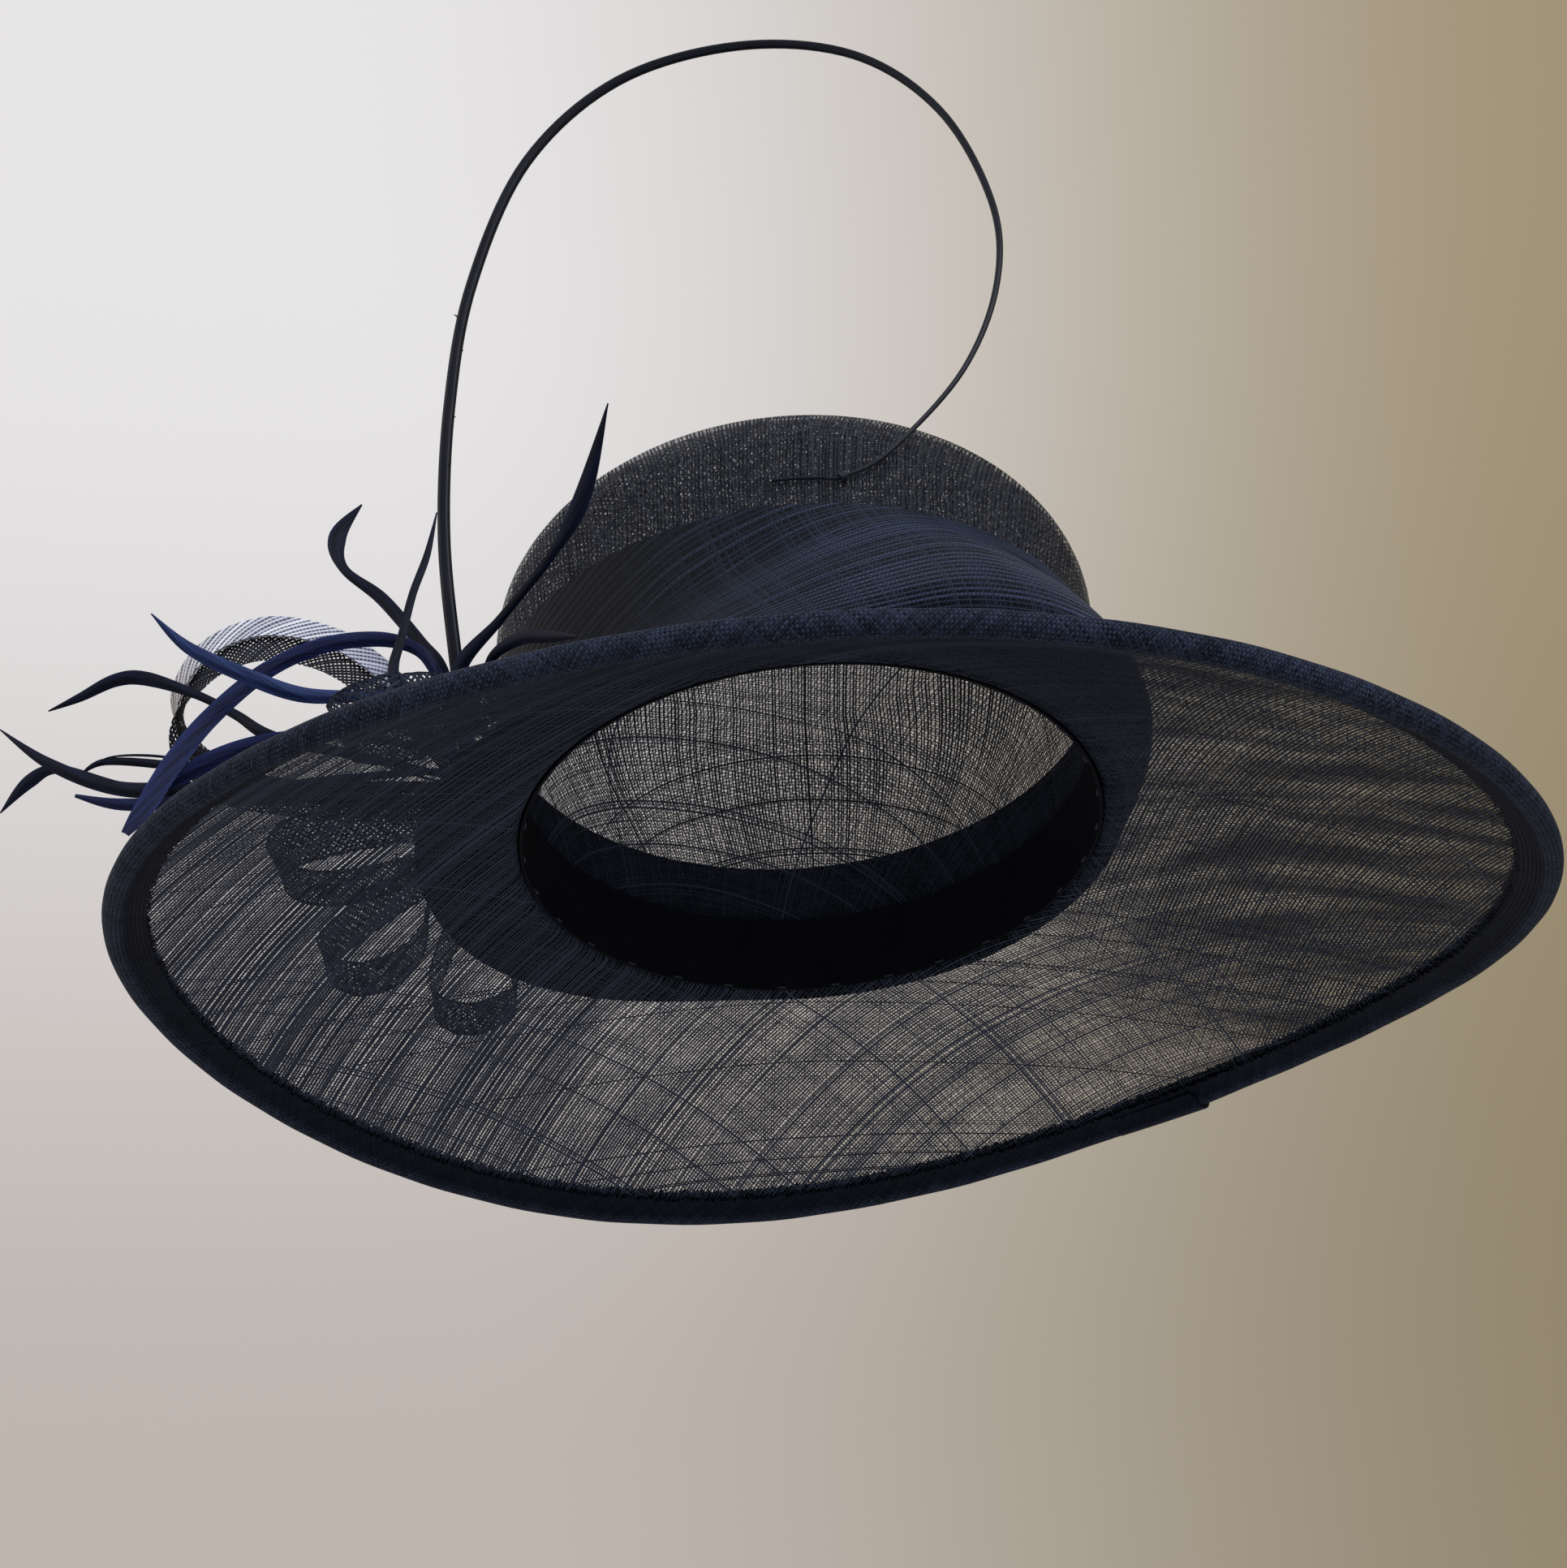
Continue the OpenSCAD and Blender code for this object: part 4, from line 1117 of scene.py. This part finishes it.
def blade(path, half, shift=0.0, thick=BLADE_THICK):
    """Rings of a blade along a path, folded a little along its rib, with its flat coordinates."""
    way = headings(path)
    wide = unit(np.cross(way, SIGHT))
    normal = np.cross(wide, way)
    shares = np.linspace(-1, 1, 9)
    across = np.outer(half, shares)
    cup = BLADE_FOLD * np.outer(half, np.abs(shares) ** 1.3)
    rib = np.outer(thick * (1 - BLADE_THIN * np.linspace(0, 1, len(path))), 1.05 - shares ** 2)
    spot = np.reshape(shift, (-1, 1)) + across
    under, over = (beside(path, wide, normal, spot, cup + side * rib) for side in (-0.5, 0.5))
    return shell(under, over), both_faces(strip_cut(across, distance(path)))


navy_feather = feather_finish("navy_feather", colour(0.002, 0.0025, 0.007),
                              colour(0.008, 0.012, 0.042), 3.0)
bright_feather = feather_finish("bright_feather", colour(0.004, 0.006, 0.026),
                                colour(0.018, 0.028, 0.11), 9.0)
pale_feather = feather_finish("pale_feather", colour(0.011, 0.019, 0.07),
                              colour(0.045, 0.075, 0.23), 15.0)
print("feather finishes:", navy_feather.name, bright_feather.name, pale_feather.name)

# %% Strips of feather
# Each has its finish, its seat on the pad, and points with the share of the full width that it has there.
BIOT_W, ROOT, LEAST = 5.0, [0.32, 0.34, 0.38], 0.06
biots = {
    "upright": (navy_feather, (10, 58), [
        (0, -28, 20, 0.85), (13, -36, 31, 0.5), (28, -46, 43, 0.5), (38, -54, 56, 0.95),
        (47, -66, 77, 0.08)]),
    "crown": (navy_feather, (13, 66), [
        (9, -34, 18, 0.5), (18, -45, 18, 0.7), (28, -53, 13, 0.6), (35, -60, 8, 0.1)]),
    "curled": (navy_feather, (0, 58), [
        (-6, -12, 29, 0.6), (-13, -11, 41, 0.75), (-24, -9, 58, 0.75), (-35, -8, 70, 0.55),
        (-37, -7, 82, 1.05), (-30, -6, 93, 0.1)]),
    "hook": (navy_feather, (9, 34), [
        (-3, -27, 4, 0.45), (-10, -34, 8, 0.6), (-16, -35, 14, 0.7), (-17, -33, 21, 0.6), (-15, -31, 31, 0.5),
        (-12, -30, 45, 0.45), (-8, -29, 58, 0.4), (-5, -29, 72, 0.08)]),
    "arch": (bright_feather, (3, 36), [
        (-5, -20, 15, 0.5), (-8, -24, 25, 0.6), (-13, -25, 31, 0.7), (-23, -26, 34, 0.85),
        (-38, -28, 32, 0.9), (-53, -30, 24, 0.95), (-67, -33, 9, 1.05), (-76, -36, -6, 1.15),
        (-82, -39, -20, 1.05), (-86, -41, -28, 0.45)]),
    "blue": (pale_feather, (8, 47), [
        (-8, -21, 13, 0.4), (-16, -23, 17, 0.45), (-28, -28, 15, 0.65), (-42, -35, 13, 0.85),
        (-56, -41, 17, 0.85), (-70, -46, 24, 0.65), (-79, -50, 33, 0.08)]),
    "side": (navy_feather, (-1, 40), [
        (-28, -10, 6, 0.5), (-52, -16, 11, 0.7), (-64, -14, 21, 0.55), (-75, -13, 29, 0.5),
        (-90, -11, 37, 0.8), (-99, -10, 38, 0.75), (-109, -9, 34, 0.5), (-118, -8, 31, 0.08)]),
    "fork": (navy_feather, (0, 21), [
        (-44, -16, -5, 0.7), (-75, -22, -6, 0.9), (-96, -18, -1, 0.8), (-115, -15, 10, 0.65),
        (-130, -12, 24, 0.08)]),
    "fork_low": (navy_feather, (-4, 21), [
        (-44, -6, -3, 0.6), (-77, -14, -4, 0.7), (-96, -11, 3, 0.6), (-114, -8, 12, 0.5),
        (-123, -6, 10, 0.75), (-131, -4, 2, 0.08)]),
    "thin": (navy_feather, (-4, 37), [
        (-38, -2, 2, 0.4), (-74, -8, 7, 0.45), (-87, -6, 12, 0.5), (-103, -3, 16, 0.4),
        (-110, -2, 13, 0.08)]),
    "low": (bright_feather, (4, 21), [
        (-38, -24, -8, 0.5), (-71, -30, -14, 0.65), (-91, -28, -12, 0.65), (-104, -26, -7, 0.2)]),
    "edge": (bright_feather, (8, 21), [
        (-28, -28, 3, 0.5), (-52, -29, 3, 0.8), (-70, -29, -3, 1.05), (-83, -29, -11, 0.15)]),
}
blades = {}
for name, (finish, seat, points) in biots.items():
    path = smooth(stem(*seat) + placed([p[:3] for p in points]), 10)
    half = BIOT_W * np.maximum(LEAST, smooth(ROOT + [p[3] for p in points], 10)) / 2
    rings, flat = blade(path, half)
    piece(f"feather_{name}", rings, flat, [finish], [f"biot_{name}"], wrap=False)
    blades[name] = path, half, finish
print("feather strips:", len(biots))

# %% Barbs that have come away
# Each has its strip, where it leaves and joins it again as shares of the strip's length, and its side.
BARB_THICK, BARB_BOW = 0.2, 1.1
barbs = ("curled", 0.12, 0.5, 1), ("arch", 0.1, 0.34, -1), ("thin", 0.55, 0.86, -1), ("side", 0.16, 0.3, 1)
for name, first, last, side in barbs:
    path, half, finish = blades[name]
    cut = slice(int(first * len(path)), int(last * len(path)))
    bow = np.sin(np.linspace(0, math.pi, len(path[cut])))
    shift = side * (half[cut] * 0.9 + BARB_BOW * bow)
    rings, flat = blade(path[cut], 0.1 + 0.3 * bow ** 0.5, shift, BARB_THICK)
    piece(f"feather_{name}_barb", rings, flat, [finish], wrap=False)
print("loose barbs:", len(barbs))

# %% [markdown]
# ## Quill
# One long ostrich quill, stripped of its barbs, springs from the pad, loops over the crown and is sewn down
# on its front. A bevelled curve would be round all the way. The real quill is flattened, has a groove down
# one side, and thins steadily, so it is swept with a shaped section. Four stubs are left where barbs broke
# off.

# %% Route of the quill
QUILL_D, QUILL_TIP, KNOT_Z, KNOT_AT, KNOT_D = 4.0, 0.9, 55.0, -80.0, 3.2
QUILL_SIZE = np.array([159, 1, 222])
knot_point = crown_wall(one(KNOT_AT), KNOT_Z, KNOT_D / 2 + GAP / 2)[0]
route = placed(QUILL_SIZE * np.array([
    (-0.013, -18, 0.135), (-0.025, -22, 0.311), (-0.006, -26, 0.5), (0.044, -30, 0.68), (0.157, -35, 0.86),
    (0.34, -39, 0.973), (0.572, -43, 1), (0.786, -47, 0.95), (0.931, -50, 0.829), (1, -54, 0.653),
    (0.987, -57, 0.509), (0.906, -60, 0.369), (0.767, -64, 0.248)]))
pull = knot_point - (ANCHOR + QUILL_SIZE * np.array([0.682, -67.3, 0.205]))
route = [p + pull * (i + 1) / (len(route) + 1) for i, p in enumerate(route)]
tail = [crown_wall(one(KNOT_AT - 4 * i), KNOT_Z, QUILL_TIP / 2 + 2 * GAP)[0] for i in (1, 2, 3)]
quill_path = smooth(stem(5, 50) + route + [knot_point] + tail, 10)
radii = np.maximum(QUILL_TIP / 2, QUILL_D / 2 * (1 - np.linspace(0, 1, len(quill_path)) ** 1.6))
print("quill is", round(distance(quill_path)[-1]), "mm long")

# %% Grooved quill
QUILL_SIDES, QUILL_GIRTH = 16, 9.0
turn = np.arange(QUILL_SIDES) * 360.0 / QUILL_SIDES
groove = 1 - 0.22 * np.exp(-((turn - 270) / 24) ** 2) - 0.05 * np.exp(-((turn - 90) / 40) ** 2)
horn = Finish("stripped_quill")
u, v = horn.uv()
scrape = horn.cloud(u * 0.7, v * 0.04, 1.0, 3.0)
quill_finish = horn.shade(
    Base_Color=horn.mix(scrape, colour(0.002, 0.0024, 0.005), colour(0.009, 0.011, 0.02)),
    Roughness=0.42, Specular_IOR_Level=0.14, Normal=horn.bump(scrape, 0.0002, 0.5))
rings, flat = tube(quill_path, radii, QUILL_GIRTH, QUILL_SIDES, groove)
piece("quill_stem", rings, flat, [quill_finish], ["quill"], wrap=False)
print("quill tapers from", QUILL_D, "to", QUILL_TIP, "mm")

# %% Stubs of barbs
# Each has its place as a share of the quill's length, and the way that it points.
STUB_L, STUB_RADII = 1.5, [0.3, 0.26, 0.22, 0.16, 0.06]
stub_places = ((0.285, (1.0, -0.3, 0.55)), (0.262, (0.9, -0.5, -0.4)), (0.30, (-0.8, -0.4, 0.5)),
               (0.24, (0.7, -0.6, 0.2)))
stubs = []
for share, points_to in stub_places:
    i = int(share * (len(quill_path) - 1))
    out = radii[i] * 0.8 + np.linspace(0, STUB_L, len(STUB_RADII))
    stubs.append(tube(quill_path[i] + out[:, None] * unit(np.array(points_to)), STUB_RADII, 1.6, 6))
joined("quill_barb_stubs", stubs, quill_finish)
print("stubs:", len(stubs))

# %% [markdown]
# ## Knot
# A few turns of thread hold the quill's thin end on the crown. A ring of tori would look machine-made, so
# they are modelled as one helix round the quill, with a single stitch on either side that goes down into
# the cloth.

# %% Thread knot
WRAPS, WRAP_R, WRAP_SPREAD, WRAP_THREAD, ARM_THREAD = 4, 0.95, 0.9, 0.3, 0.26
nearest = int(np.argmin(np.linalg.norm(quill_path - knot_point, axis=1)))
way = headings(quill_path)[nearest]
side = unit(np.cross(way, SIGHT))
over = np.cross(side, way)
turns = np.linspace(0, WRAPS * 360, 97)[:, None]
spread = np.linspace(-WRAP_SPREAD, WRAP_SPREAD, 97)[:, None]
helix = knot_point + spread * way + WRAP_R * (cosd(turns) * side + sind(turns) * over)
wraps = [tube(helix, WRAP_THREAD, 1.8)]
for sign in (-1, 1):
    s = np.linspace(0, 1, 7)[:, None]
    foot = crown_wall(one(KNOT_AT + 0.6 * sign), KNOT_Z - 1.4 * sign, -0.1)[0]
    arm = (1 - s) * (knot_point + WRAP_SPREAD * sign * side) + s * foot
    wraps.append(tube(arm, ARM_THREAD, 1.6))
joined("quill_thread_knot", wraps, thread_finish, ["quill_knot"])
print("knot at", knot_point.round(1))
